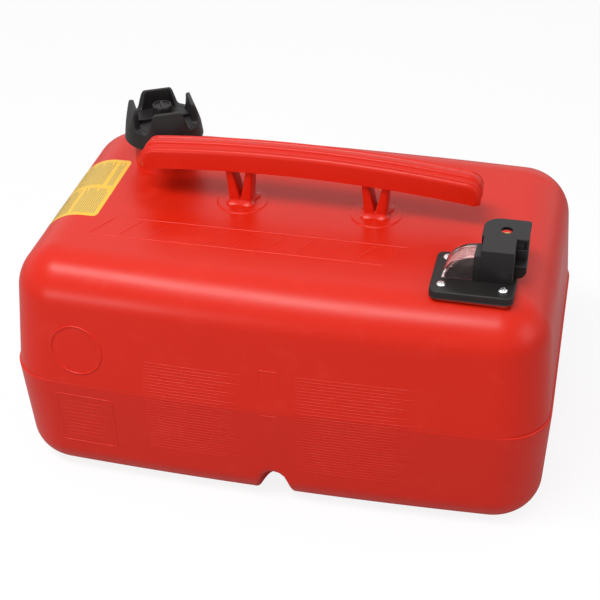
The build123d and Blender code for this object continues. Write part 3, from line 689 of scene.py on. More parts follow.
# ------------------------------------------------------------------ tank shell
@dataclass
class TankShell:
    """Blow-moulded shell with its neck, seats, mould line, strap channel and raised marks. Millimetres."""

    half_length: float = 239.0
    half_width: float = 156.0
    height: float = 222.0
    parting: float = 109.0
    bow: float = 7.4
    corner: float = 45.0
    corner_steps: int = 20
    deck_round: float = 43.0
    foot_round: float = 33.0
    lean_top: Pair = (8.0, 11.8)
    lean_foot: Pair = (4.3, 7.1)
    ledge: float = 1.6
    channel_x: float = 4.0
    channel_w: float = 36.0
    channel_depth: float = 8.0
    channel_round: float = 7.0
    mouth_rise: float = 42.5
    mouth_run: float = 42.0
    mouth_r: float = 12.1
    mouth_flare: float = 18.0
    lip_soft: float = 1.3
    lip_reach: float = 33.0
    probe: Pair = (44.0, 0.5)
    groove: Pair = (0.22, 0.7)
    dense: Pair = (-35.0, 39.0)
    neck: Pair = (-147.0, 62.0)
    neck_r: float = 28.7
    neck_bore: float = 25.5
    neck_top: float = 257.0
    thread_foot: float = 26.5
    thread_turns: float = 1.45
    thread_rise: float = 5.58
    thread_height: float = 1.2
    posts: Pair = (-55.5, 67.5)
    pad_r: float = 22.9
    sender: Pair = (166.0, -91.0)
    seat: Pair = (34.1, 30.6)
    ring_mark: tuple = (-169.3, 144.7, 23.3)
    frames: tuple = (((-194, 39.9), (-140.4, 39.7), (-140.5, 95.5), (-193, 96), 3.0),
                     (*box(-5.5, 12.4, 104.6, 150), 2.0))
    blocks: tuple = ((-108.5, -21.4, 48.0, 144.5, 30), (26.5, 131.0, 43.0, 149.0, 33),
                     (-187.0, -147.0, 46.0, 90.0, 10))
    band_x: Pair = (-175.0, 87.0)
    band_y: Pair = (-79.7, -48.5)
    band_lean: float = 17.0
    band_pitch: float = 26.2
    side: np.ndarray = field(init=False)
    end: np.ndarray = field(init=False)
    normal: np.ndarray = field(init=False)

    def __post_init__(self) -> None:
        """Spaces the columns round the shell, closely beside the strap channel."""
        reach = self.half_length - self.corner
        low, high = self.dense
        left, right = np.linspace(-reach, low - 1, 40), np.linspace(high + 1, reach, 40)
        f = self.side = np.concatenate([left, np.arange(low, high + 0.1, 1.0), right]) / reach
        g = self.end = np.sin(np.linspace(-QUARTER, QUARTER, 52)) * 0.6 + np.linspace(-1, 1, 52) * 0.4
        w = np.arange(1, self.corner_steps) / self.corner_steps
        runs = ((Stretch.SIDE, f, 1, -1), (Stretch.CORNER, w, 1, -1), (Stretch.END, g, 1, 1),
                (Stretch.CORNER, w[::-1], 1, 1), (Stretch.SIDE, f[::-1], 1, 1), (Stretch.CORNER, w, -1, 1),
                (Stretch.END, g[::-1], -1, 1), (Stretch.CORNER, w[::-1], -1, -1))
        columns = np.array([(kind, value, sx, sy) for kind, values, sx, sy in runs for value in values])
        self.kind, self.value, self.sx, self.sy = columns.T
        self.normal = self.ring(self.half_length, self.half_width, 0.0)[1]

    def wall(self, upper: bool) -> tuple[Pair, float]:
        """Lean and height of the wall above or below the mould line."""
        return (self.lean_top, self.height - self.parting) if upper else (self.lean_foot, self.parting)

    def bowed(self, half_l: np.ndarray | float) -> np.ndarray | float:
        """Radius of the bowed sides for a half length."""
        return (half_l ** 2 + self.bow ** 2) / (2 * self.bow)

    def ring(self, half_l: np.ndarray | float, half_w: np.ndarray | float,
             inset: np.ndarray | float) -> tuple[np.ndarray, np.ndarray]:
        """Outline points for given half sizes, drawn in by an inset.

        Args:
            half_l: Half length, also one for each column.
            half_w: Half width, likewise.
            inset: Inset, likewise.

        Returns:
            Plan points and plan normals.
        """
        base, big, xc = half_w - self.bowed(half_l), self.bowed(half_l) - self.corner, half_l - self.corner
        yc = base + np.sqrt(big ** 2 - xc ** 2)
        x_side = self.value * xc
        y_side = base + np.sqrt(big ** 2 - x_side ** 2)
        swing = (1 - self.value) * np.arctan2(yc - base, xc)
        kinds = [self.kind == Stretch.SIDE, self.kind == Stretch.CORNER]
        middle = [np.select(kinds, [x_side, xc], xc), np.select(kinds, [y_side, yc], self.value * yc)]
        normal = [np.select(kinds, [x_side / big, np.cos(swing)], 1.0),
                  np.select(kinds, [(y_side - base) / big, np.sin(swing)], 0.0)]
        flip = np.stack([np.where(kinds[0], 1.0, self.sx),
                         np.where(self.kind == Stretch.END, 1.0, self.sy)], 1)
        out = np.stack(normal, 1) * flip
        return np.stack(middle, 1) * flip + out * np.reshape(self.corner - inset, (-1, 1)), out

    def level(self, upper: bool, z: np.ndarray | float, inset: np.ndarray | float,
              ledge: float) -> np.ndarray:
        """Points of one row of the wall at given heights.

        Args:
            upper: True above the mould line.
            z: Height, also one for each column.
            inset: How far the row is drawn in, likewise.
            ledge: How far the ends stand proud.

        Returns:
            The points.
        """
        lean, span = self.wall(upper)
        share = np.abs(z - self.parting) / span
        flat, _ = self.ring(self.half_length + ledge - lean[0] * share,
                            self.half_width - lean[1] * share, inset)
        return raised(flat, z)

    def roll(self, upper: bool, turn: float, ledge: float) -> tuple[np.ndarray, np.ndarray]:
        """Row of the rounded edge above or below.

        Args:
            upper: True for the deck's edge, False for the underside's.
            turn: 0 on the wall, 1 on the flat.
            ledge: How far the ends stand proud.

        Returns:
            Points and outward normals.
        """
        lean, span = self.wall(upper)
        radius, sign = (self.deck_round, 1) if upper else (self.foot_round, -1)
        slope = np.abs(self.normal) @ np.array(lean) / span
        tilt = np.arctan(slope)
        phi = tilt + turn * (QUARTER - tilt)
        rise = span - radius + radius * np.sin(phi)
        inward = slope * (span - radius) + radius / np.cos(tilt) - radius * np.cos(phi)
        points = self.level(upper, self.parting + rise * sign, inward - slope * rise, ledge)
        return points, np.column_stack([self.normal * np.cos(phi)[:, None], np.sin(phi) * sign])

    def inside_channel(self, p: np.ndarray) -> np.ndarray:
        """Whether points lie in the strap channel or one of its mouths.

        Args:
            p: Points along the last axis.

        Returns:
            True for each point inside.
        """
        dx, ay, z = np.abs(p[..., 0] - self.channel_x), np.abs(p[..., 1]), p[..., 2]
        half, soft = self.channel_w / 2, self.channel_round
        edge = np.clip(dx - (half - soft), 0, soft)
        flat = (dx < half) & (z < self.channel_depth - soft + np.sqrt(soft ** 2 - edge ** 2))
        slope = (self.mouth_rise - self.channel_depth) / self.mouth_run
        under = self.mouth_rise - (self.half_width - ay) * slope - z
        flare, r = math.radians(self.mouth_flare), self.mouth_r
        knee = r * (1 - math.sin(flare))
        arch = np.sqrt(np.clip(r ** 2 - (r - under) ** 2, 0, None))
        reach = np.where(under < knee, arch, r * math.cos(flare) + (under - knee) * math.tan(flare))
        return flat | ((under > 0) & (dx < reach))

    def dent(self, points: np.ndarray, inward: np.ndarray) -> np.ndarray:
        """Pushes chains of points into the strap channel with soft lips.

        Args:
            points: Columns by places along each column by 3.
            inward: Inward normals of the same shape.

        Returns:
            The moved points.
        """
        trial = points[:, :, None] + inward[:, :, None] * np.arange(0, *self.probe)[:, None]
        depth = np.cumprod(self.inside_channel(trial), axis=2).sum(2) * self.probe[1]
        across = points[:, points.shape[1] // 2, 0]
        steps = np.linalg.norm(np.diff(points[len(points) // 2], axis=0), axis=1)
        run = np.concatenate([[0], np.cumsum(steps)])
        depth = blur(across, self.lip_soft) @ depth @ blur(run, self.lip_soft, np.gradient(run)).T
        return points + inward * depth[..., None]

    def patch(self, ring: np.ndarray) -> tuple[np.ndarray, np.ndarray]:
        """Fills a ring with a grid whose lines run straight across.

        Args:
            ring: Points of the ring.

        Returns:
            Grid of points, and ring indices of the grid's border (-1 inside).
        """
        nf, ng, k = len(self.side), len(self.end), self.corner_steps
        starts = np.cumsum([-(k // 2), nf + k - 1, ng + k - 1, nf + k - 1])
        front, right, back, left = (np.arange(s, s + n + k) % len(ring)
                                    for s, n in zip(starts, (nf, ng, nf, ng)))
        back, left = back[::-1], left[::-1]
        f, r, b, le = ring[front], ring[right], ring[back], ring[left]
        u = ((f[:, 0] - f[0, 0]) / (f[-1, 0] - f[0, 0]))[:, None, None]
        v = ((r[:, 1] - r[0, 1]) / (r[-1, 1] - r[0, 1]))[:, None]
        grid = ((1 - v) * f[:, None] + v * b[:, None] + (1 - u) * le + u * r
                - (1 - u) * ((1 - v) * f[0] + v * b[0]) - u * ((1 - v) * f[-1] + v * b[-1]))
        border = np.full(grid.shape[:2], -1)
        border[:, 0], border[:, -1], border[0], border[-1] = front, back, left, right
        return grid, border

    def sink(self, walls: np.ndarray, outs: np.ndarray, grid: np.ndarray) -> None:
        """Presses the strap channel into the lower wall's rows and the underside's grid.

        Args:
            walls: Rows of the lower wall, which are changed.
            outs: Outward normals of the rows.
            grid: Grid of the underside, which is changed.
        """
        size, last = len(walls), 2 * len(self.side) - 1 + 2 * (self.corner_steps - 1) + len(self.end)
        offset = self.side * (self.half_length - self.corner) - self.channel_x
        near = np.flatnonzero(np.abs(offset) < self.lip_reach)
        row, back = near + self.corner_steps // 2, last - near

        def chains(rows: np.ndarray, middle: np.ndarray) -> np.ndarray:
            """Runs of points down one wall, across the underside and up the other wall."""
            return np.concatenate([rows[:, near].swapaxes(0, 1), middle, rows[::-1, back].swapaxes(0, 1)], 1)

        down = np.broadcast_to([0.0, 0.0, -1.0], grid[row, 1:-1].shape)
        moved = self.dent(chains(walls, grid[row, 1:-1]), -chains(outs, down))
        walls[:, near] = moved[:, :size].swapaxes(0, 1)
        grid[row, 1:-1] = moved[:, size:-size]
        walls[:, back] = moved[:, -size:][:, ::-1].swapaxes(0, 1)

    def shell(self) -> Shape:
        """Lays the closed outer skin.

        Returns:
            The skin.
        """
        groove = self.groove[0] + self.groove[1] * np.abs(self.normal[:, 0])
        rows = [self.roll(True, turn, 0.0)[0] for turn in np.linspace(1, 0, 26)]
        start, end = rows[-1][:, 2], self.parting + 1.6
        rows += [self.level(True, start + (end - start) * share, 0.0, 0.0)
                 for share in np.linspace(0, 1, 9)[1:]]
        for upper, dz, part in ((True, 1.1, 0.0), (True, 0.8, 0.6), (True, 0.3, 1.0),
                                (False, 0.0, 0.9), (False, -0.35, 0.25), (False, -0.9, 0.0)):
            rows.append(self.level(upper, self.parting + dz, groove * part, 0.0 if upper else self.ledge))
        first, out = self.roll(False, 0.0, self.ledge)
        start = self.parting - 0.9
        low = [(self.level(False, start + (first[:, 2] - start) * share, 0.0, self.ledge), out)
               for share in np.linspace(0, 1, 22)[1:-1]]
        low += [self.roll(False, turn, self.ledge) for turn in np.linspace(0, 1, 34)]
        walls, outs = (np.array(part) for part in zip(*low))
        walls[-1, :, 2] = 0.0
        grid, border = self.patch(walls[-1])
        self.sink(walls, outs, grid)
        shape = skin(rows + list(walls), True, False)
        last = len(shape.verts) - len(out)
        for first_index, points, edge in ((last, grid, border), (0, *self.patch(rows[0]))):
            free, index = edge < 0, edge + first_index
            index[free] = len(shape.verts) + np.arange(free.sum())
            shape.verts = np.vstack([shape.verts, points[free]])
            quads = np.stack([index[:-1, :-1], index[1:, :-1], index[1:, 1:], index[:-1, 1:]], -1)
            shape.faces += [tuple(q) for q in quads.reshape(-1, 4).tolist()]
        return shape

    def front_place(self, x: float, z: float) -> tuple[np.ndarray, np.ndarray]:
        """Finds a place on the gauge-side wall.

        Args:
            x: Place along the wall.
            z: Height.

        Returns:
            Point and outward normal.
        """
        upper = z >= self.parting
        lean, span = self.wall(upper)
        share = abs(z - self.parting) / span
        big = self.bowed(self.half_length - lean[0] * share + (0 if upper else self.ledge))
        y = self.half_width - lean[1] * share - big + math.sqrt(big ** 2 - x ** 2)
        tilt = math.atan(lean[1] / span) * (1 if upper else -1)
        side = math.asin(x / big)
        normal = np.array([math.sin(side) * math.cos(tilt), -math.cos(side) * math.cos(tilt), math.sin(tilt)])
        return np.array([x, -y, z]), normal

    def front_bead(self, points: Sequence[Pair], width: float, height: float, closed: bool = False) -> Shape:
        """Raised line on the gauge-side wall through (x, z) points."""
        path, normals = zip(*(self.front_place(x, z) for x, z in points))
        return bead(np.array(path), np.array(normals), width, height, closed)

    def deck_bead(self, corners: Sequence[Pair], width: float, height: float) -> Shape:
        """Raised line on the deck through (x, y) corners."""
        up = np.tile([0.0, 0.0, 1.0], (6, 1))
        return joined(bead(raised(np.linspace(a, b, 6), self.height), up, width, height)
                      for a, b in zip(corners, corners[1:]))

    def neck_shape(self) -> Shape:
        """Turns the filler neck with its spiral rib.

        Returns:
            The neck.
        """
        r, bore, top, deck = self.neck_r, self.neck_bore, self.neck_top, self.height
        profile = [(r + out, deck + up) for out, up in quarter(0.2, 4)]
        profile += [(r, top - 0.8), (r - 0.3, top - 0.2), (r - 0.9, top), (bore + 0.6, top),
                    (bore + 0.1, top - 0.4), (bore, top - 1.0), (bore, deck), (0, deck)]
        rings = []
        for t in np.linspace(0, 1, 150):
            crest = r + self.thread_height * min(1.0, 12 * t, 12 * (1 - t))
            z = deck + self.thread_foot + self.thread_rise * self.thread_turns * t
            rings.append(polar(np.array([r - 0.2, crest, crest, r - 0.2]),
                               2 * math.pi * self.thread_turns * t,
                               z + np.array([-1.3, -0.45, 0.45, 1.3]), *self.neck))
        return lathe(profile, 96, *self.neck) + skin(rings)

    def pads(self) -> Shape:
        """Shapes the round seats of the handle and the raised seat of the gauge unit.

        Returns:
            The seats.
        """
        deck, r, (sx, sy), (dx, dy) = self.height, self.pad_r, self.sender, self.seat
        rim = [(r + out, deck + up) for out, up in (
            (0.7, -0.2), (0.25, 0.1), (0, 0.5), (-0.15, 0.85), (-0.5, 1.15), (-1.0, 1.2), (-3.0, 1.2),
            (-r, 1.2))]
        loop = rounded(box(sx - dx, sx + dx, sy - dy, sy + dy), 6.6, 8)
        levels = ((6.0, 1.0), (5.2, 1.0), (4.5, 0.8), (4.1, 0.3), (4.1, -0.6), (3.6, -5), (2.8, -10),
                  (2.0, -15.5))
        return (joined(lathe(rim, 96, x) for x in self.posts)
                + skin([raised(shrink(loop, inset), deck + up) for inset, up in levels]))

    def marks(self) -> Shape:
        """Draws the plain raised ring, blank frames and ribs, and the ruled band on the deck.

        Returns:
            The marks, none of them wider than the shell.
        """
        cx, cz, r = self.ring_mark
        beads = [self.front_bead([(cx + r * math.cos(a), cz + r * math.sin(a)) for a in around(72)],
                                 1.9, 0.9, True)]
        for *corners, radius in self.frames:
            loop = rounded(corners, radius, 4).tolist()
            beads.append(self.front_bead(loop + loop[:1], 1.3, 0.45))
        for x0, x1, z0, z1, count in self.blocks:
            for n in range(count):
                z = z1 - (z1 - z0) * (n + 0.5) / count
                cut = (n * 37 % 11) * (x1 - x0) * 0.02
                beads.append(self.front_bead([(x, z) for x in np.linspace(x0, x1 - cut, 14)], 0.9, 0.20))
        (x0, x1), (foot, head), lean = self.band_x, self.band_y, self.band_lean
        band = [(x0, foot), (x1, foot), (x1 + lean, head), (x0 + lean, head)]
        beads.append(self.deck_bead(band + band[:1], 1.4, 0.5))
        for x in np.arange(x0 + self.band_pitch, x1 - 1, self.band_pitch):
            beads.append(self.deck_bead([(x, foot), (x + lean, head)], 1.2, 0.45))
        marks = joined(beads)
        marks.verts[:, 1] = np.maximum(marks.verts[:, 1], -self.half_width)
        return marks

    def build(self, finish: Finishes) -> None:
        """Builds the shell and puts it on the tank body.

        Args:
            finish: Finishes of the tank.
        """
        whole = joined([self.shell(), self.neck_shape(), self.pads(), self.marks()])
        settle(whole.part("tank_shell", finish.red, 55.0), Body.TANK, Slot.RED, "tank_body")


# ------------------------------------------------------------------ handle
@dataclass
class CarryHandle:
    """Arched hand bar with three ridges on two forked posts. Millimetres."""

    middle: float = 6.8
    length: float = 306.6
    width: float = 26.0
    crest: float = 280.4
    peak: float = -18.0
    depth: float = 20.9
    arch: float = 1300.0
    end_round: float = 13.0
    foot_round: float = 3.0
    groove: float = 2.8
    wall: float = 3.0
    rib_pitch: float = 24.0
    pad: float = 223.2
    posts: Pair = (-55.5, 67.5)
    leg_foot: float = 4.6
    leg_top: float = 11.8
    leg_deep: Pair = (9.0, 10.5)
    foot_block: Pair = (9.2, 9.0)
    foot_height: float = 5.0
    rib_half: float = 1.2
    section: tuple = ((-13.0, 6.4), (-12.95, 4.8), (-12.75, 3.7), (-12.3, 2.8), (-11.7, 2.1), (-11.2, 1.6),
                      (-10.95, 1.1), (-10.8, 0.5), (-10.5, 0.1), (-10.1, 0.0), (-9.6, 0.1), (-9.2, 0.5),
                      (-8.9, 1.3), (-8.7, 2.6), (-8.3, 3.1), (-7.0, 3.2), (-3.0, 3.1), (-1.6, 2.9),
                      (-0.9, 2.4), (-0.5, 1.5), (-0.1, 0.8), (0.6, 0.3), (1.8, 0.05), (3.5, 0.0),
                      (5.5, 0.05), (6.6, 0.25), (7.3, 0.8), (7.8, 1.5), (8.4, 1.7), (9.0, 1.5),
                      (9.5, 0.9), (10.1, 0.45), (10.9, 0.3), (11.8, 0.4), (12.4, 0.9), (12.8, 1.8),
                      (13.0, 3.2))

    def top(self, x: float) -> float:
        """Height of the crest line at one place along the bar."""
        return self.crest - self.arch + math.sqrt(self.arch ** 2 - (x - self.peak) ** 2)

    def side(self, inset: float, sill: float = 0.0) -> np.ndarray:
        """Side outline of the bar.

        Args:
            inset: How far the crest and the ends are drawn in.
            sill: How far the lower edge is raised.

        Returns:
            Counter-clockwise (x, z) points.
        """
        x0, x1 = self.middle - self.length / 2 + inset, self.middle + self.length / 2 - inset
        big, foot = max(self.end_round - inset * 0.6, 2.0), self.foot_round

        def end(x: float, sign: int) -> list[Pair]:
            """Rounded end from the lower edge up to the crest.

            Args:
                x: Place of the end.
                sign: 1 for the right end, -1 for the left one.

            Returns:
                Points of the end.
            """
            low, high = self.top(x) - self.depth + sill, self.top(x - sign * big) - inset
            return ([(x - sign * out, low + up) for out, up in quarter(foot, 6, 0.2)]
                    + [(x - sign * up, high - out) for out, up in quarter(big, 14)])

        lower = [(x, self.top(x) - self.depth + sill) for x in np.linspace(x0 + foot, x1 - foot, 60)]
        upper = [(x, self.top(x) - inset) for x in np.linspace(x1 - big, x0 + big, 60)[1:-1]]
        return np.array(lower + end(x1, 1) + upper + end(x0, -1)[::-1])

    def leg(self, x: float, sign: int) -> Shape:
        """Shapes one leaning leg of a post.

        Args:
            x: Middle of the post.
            sign: Side that the leg leans to.

        Returns:
            The leg.
        """
        foot = self.pad + 1.0
        top = self.top(x + sign * self.leg_top) - self.groove - 1.2
        rings = []
        for t in np.linspace(0, 1, 16):
            mid = x + 0.25 + sign * (self.leg_foot + (self.leg_top - self.leg_foot) * t)
            wide = 10.6 - 4.6 * min(1.0, t * 1.6) + 5.0 * max(0.0, (t - 0.72) / 0.28) ** 2
            half, deep = wide / 2, self.leg_deep[0] + (self.leg_deep[1] - self.leg_deep[0]) * t
            loop = rounded(box(mid - half, mid + half, -deep, deep), min(2.0, wide * 0.4), 4)
            rings.append(raised(loop, foot + (top - foot) * t))
        return skin(rings)

    def post(self, x: float) -> Shape:
        """Shapes a post: two leaning legs that run out of one star-shaped foot.

        Args:
            x: Middle of the post.

        Returns:
            The post.
        """
        angle = around(96)
        cos, sin = np.maximum(np.abs(np.cos(angle)), TINY), np.maximum(np.abs(np.sin(angle)), TINY)
        block = np.minimum(self.foot_block[0] / cos, self.foot_block[1] / sin)
        star = np.maximum(11.0 + (6.5 + 2.5 * np.sin(angle)) * np.abs(np.sin(2 * angle)) ** 2.2, block)
        sunk = 0.9
        rings = [polar(block + (star - block) * (1 - t) ** 2, angle,
                       self.pad + sunk + self.foot_height * t, x) for t in np.linspace(0, 1, 12)]
        return joined([self.leg(x, -1), self.leg(x, 1), skin([rings[0] - np.array([0, 0, sunk]), *rings])])

    def build(self, finish: Finishes) -> None:
        """Builds the handle and puts it on the tank body.

        Args:
            finish: Finishes of the tank.
        """
        rings = [raised(self.side(inset), y)[:, [0, 2, 1]] for y, inset in self.section]
        bar = skin(rings).part("carry_handle_bar", finish.red, 50.0)
        inside = self.width / 2 - self.wall
        carve(bar, plate(self.side(self.groove + self.wall, -8.0), -inside, inside, Along.Y, 0.3, 0.3, 2))
        half, deep = self.rib_half, inside + 1.0
        ribs = [slab(x - half, x + half, -deep, deep, self.top(x) - self.depth + 2.4,
                     self.top(x) - self.groove - 1.5, 0.4, 0.3)
                for x in self.middle + self.rib_pitch * np.arange(-6, 7)]
        settle(bar, Body.TANK, Slot.RED, "carry_handle")
        more = joined(ribs + [self.post(x) for x in self.posts])
        settle(more.part("carry_handle_posts", finish.red), Body.TANK, Slot.RED)


# ------------------------------------------------------------------ filler cap
@dataclass
class FillerCap:
    """Screw cap with a four-lobed crown. Millimetres."""

    x: float = -147.0
    y: float = 62.0
    foot: float = 249.0
    top: float = 283.0
    floor: float = 264.5
    ceiling: float = 262.0
    radius: float = 37.0
    top_radius: float = 33.2
    crown_bore: float = 28.4
    crown_wall: float = 3.5
    lip: float = 1.2
    flat_r: float = 28.3
    flat_tilt: float = 19.0
    flat_soft: Pair = (0.8, 0.6)
    phase: float = 27.5
    columns: int = 576
    rib: tuple = (6.0, 28.6, -1.3, 1.3, 263.5, 267.4, 0.4, 0.5)
    skirt: tuple = ((24.5, 259.5), (30.35, 259.5), (30.35, 249.8), (30.6, 249.2), (31.2, 249.0),
                    (35.6, 249.0), (36.5, 249.2), (36.95, 249.9))
    hub: tuple = ((14, 264.5), (7.4, 264.5), (6.8, 264.8), (6.5, 265.6), (6.2, 270.5), (5.9, 271.0),
                  (3.3, 271.0), (3.1, 270.8), (3.1, 262.2), (3.4, 262.0), (24.2, 262.0), (24.5, 261.7),
                  (24.5, 259.5))
    slot_r: float = 31.0
    slot_across: tuple = (0, 4.2, 5.8, 6.9, 7.4, 9.9, 10.5, 11.6, 40)
    slot_height: tuple = (265.0, 265.0, 265.8, 267.8, 270.0, 280.6, 282.2, 283.0, 283.0)

    def fold(self, shift: float) -> np.ndarray:
        """Angle of each column from the nearest of four directions, turned by a shift."""
        return np.mod(around(self.columns) - math.radians(self.phase) + shift, QUARTER) - QUARTER / 2

    def rim(self) -> np.ndarray:
        """Height of the crown's top at each column."""
        return np.interp(np.abs(self.slot_r * np.sin(self.fold(0.0))), self.slot_across, self.slot_height)

    def flat(self, distance: np.ndarray | float) -> np.ndarray:
        """Radius of four flat faces, one per lobe, at a distance from the axis."""
        return distance / np.cos(self.fold(QUARTER / 2))

    def outer(self, z: np.ndarray | float) -> np.ndarray:
        """Outer radius: round skirt below, flat lobes above.

        Args:
            z: Height, also one for each column.

        Returns:
            Radius at each column.
        """
        cone = self.radius - (self.radius - self.top_radius) * (z - self.foot) / (self.top - self.foot)
        lobe = self.flat(self.flat_r + (self.top - z) * math.tan(math.radians(self.flat_tilt)))
        return smaller(cone, lobe, self.flat_soft[0])

    def inner(self, z: np.ndarray | float) -> np.ndarray:
        """Inner radius of the crown: round floor, flat lobes."""
        lobe = self.flat(self.flat_r - self.crown_wall + 0.015 * (self.top - z))
        return smaller(self.crown_bore, lobe, self.flat_soft[1])

    def build(self, finish: Finishes) -> None:
        """Builds the cap and puts it on its body.

        Args:
            finish: Finishes of the tank.
        """
        rim, lip = self.rim(), self.lip
        edge, bore = rim - lip, self.inner(rim)
        outside = [250.6, 253, 256, 259, self.ceiling]
        outside += [self.ceiling + (edge - self.ceiling) * share for share in (0.15, 0.4, 0.65, 0.85, 1.0)]
        inside = [np.maximum(rim - 1.0 + (self.floor + 1.3 - rim) * share, self.floor)
                  for share in (0.0, 0.3, 0.6, 0.9, 1.0)]
        profile = [*self.skirt, *((self.outer(z), z) for z in outside)]
        for a in QUARTER * np.array([0.35, 0.7, 1.0]):
            profile.append((self.outer(edge) - lip * (1 - math.cos(a)), edge + lip * math.sin(a)))
        profile += [((self.outer(rim) + bore) / 2, rim), (bore + 0.8, rim), (bore + 0.2, rim - 0.3)]
        profile += [(self.inner(z), z) for z in inside]
        profile += [(np.minimum(self.inner(self.floor), 23.5), self.floor), *self.hub]
        cap = skin([polar(r, around(self.columns), z, self.x, self.y) for r, z in profile], True, False)
        rib = slab(*self.rib).moved(self.x, self.y)
        ribs = joined(rib.turned(self.phase + 90 * i, "Z", (self.x, self.y, 0)) for i in range(4))
        settle((cap + ribs).part("filler_cap", finish.black, 42.0), Body.CAP, Slot.BLACK, "fuel_cap")


@dataclass
class VentKnob:
    """Vent screw with a rimmed, fluted knob and a grip bar. Millimetres."""

    x: float = -147.0
    y: float = 62.0
    radius: float = 9.0
    foot: float = 268.2
    top: float = 280.0
    turn: float = 115.0
    flutes: int = 8
    flute_depth: float = 0.75
    bar: tuple = (-7.8, 7.8, -1.2, 1.2)
    profile: tuple = ((0, 278.4), (6.6, 278.4), (7.2, 278.6), (7.4, 279.0), (7.5, 279.8), (7.8, 280.0),
                      (8.2, 280.0), (8.7, 279.7), (9.0, 279.1), (9.0, 277.0), (9.0, 273.0), (9.0, 268.9),
                      (8.8, 268.3), (8.5, 268.2), (7.2, 268.2), (6.8, 268.4), (6.8, 272.2), (2.8, 272.2),
                      (2.8, 260.5), (2.2, 260.4), (2.2, 259.2), (2.8, 259.1), (2.7, 258.9), (0, 258.9))

    def fluted(self, angle: np.ndarray, radius: float, height: float) -> np.ndarray:
        """Radius of the knob's wall with its flutes.

        Args:
            angle: Angles round the knob.
            radius: Radius of the profile.
            height: Height of the profile.

        Returns:
            Radius at each angle.
        """
        if radius < self.radius - 0.7 or height <= self.foot + 0.05:
            return np.full(angle.shape, max(radius, PIN))
        return radius - self.flute_depth * np.maximum(0.0, np.cos(self.flutes * angle)) ** 3

    def build(self, finish: Finishes) -> None:
        """Builds the knob and puts it on the vent body.

        Args:
            finish: Finishes of the tank.
        """
        bar = slab(*self.bar, self.top - 2.2, self.top, 0.9, 0.5)
        knob = (lathe(self.profile, 128, shape=self.fluted) + bar).turned(self.turn).moved(self.x, self.y)
        settle(knob.part("vent_knob", finish.black, 42.0), Body.VENT, Slot.BLACK, "vent_screw")


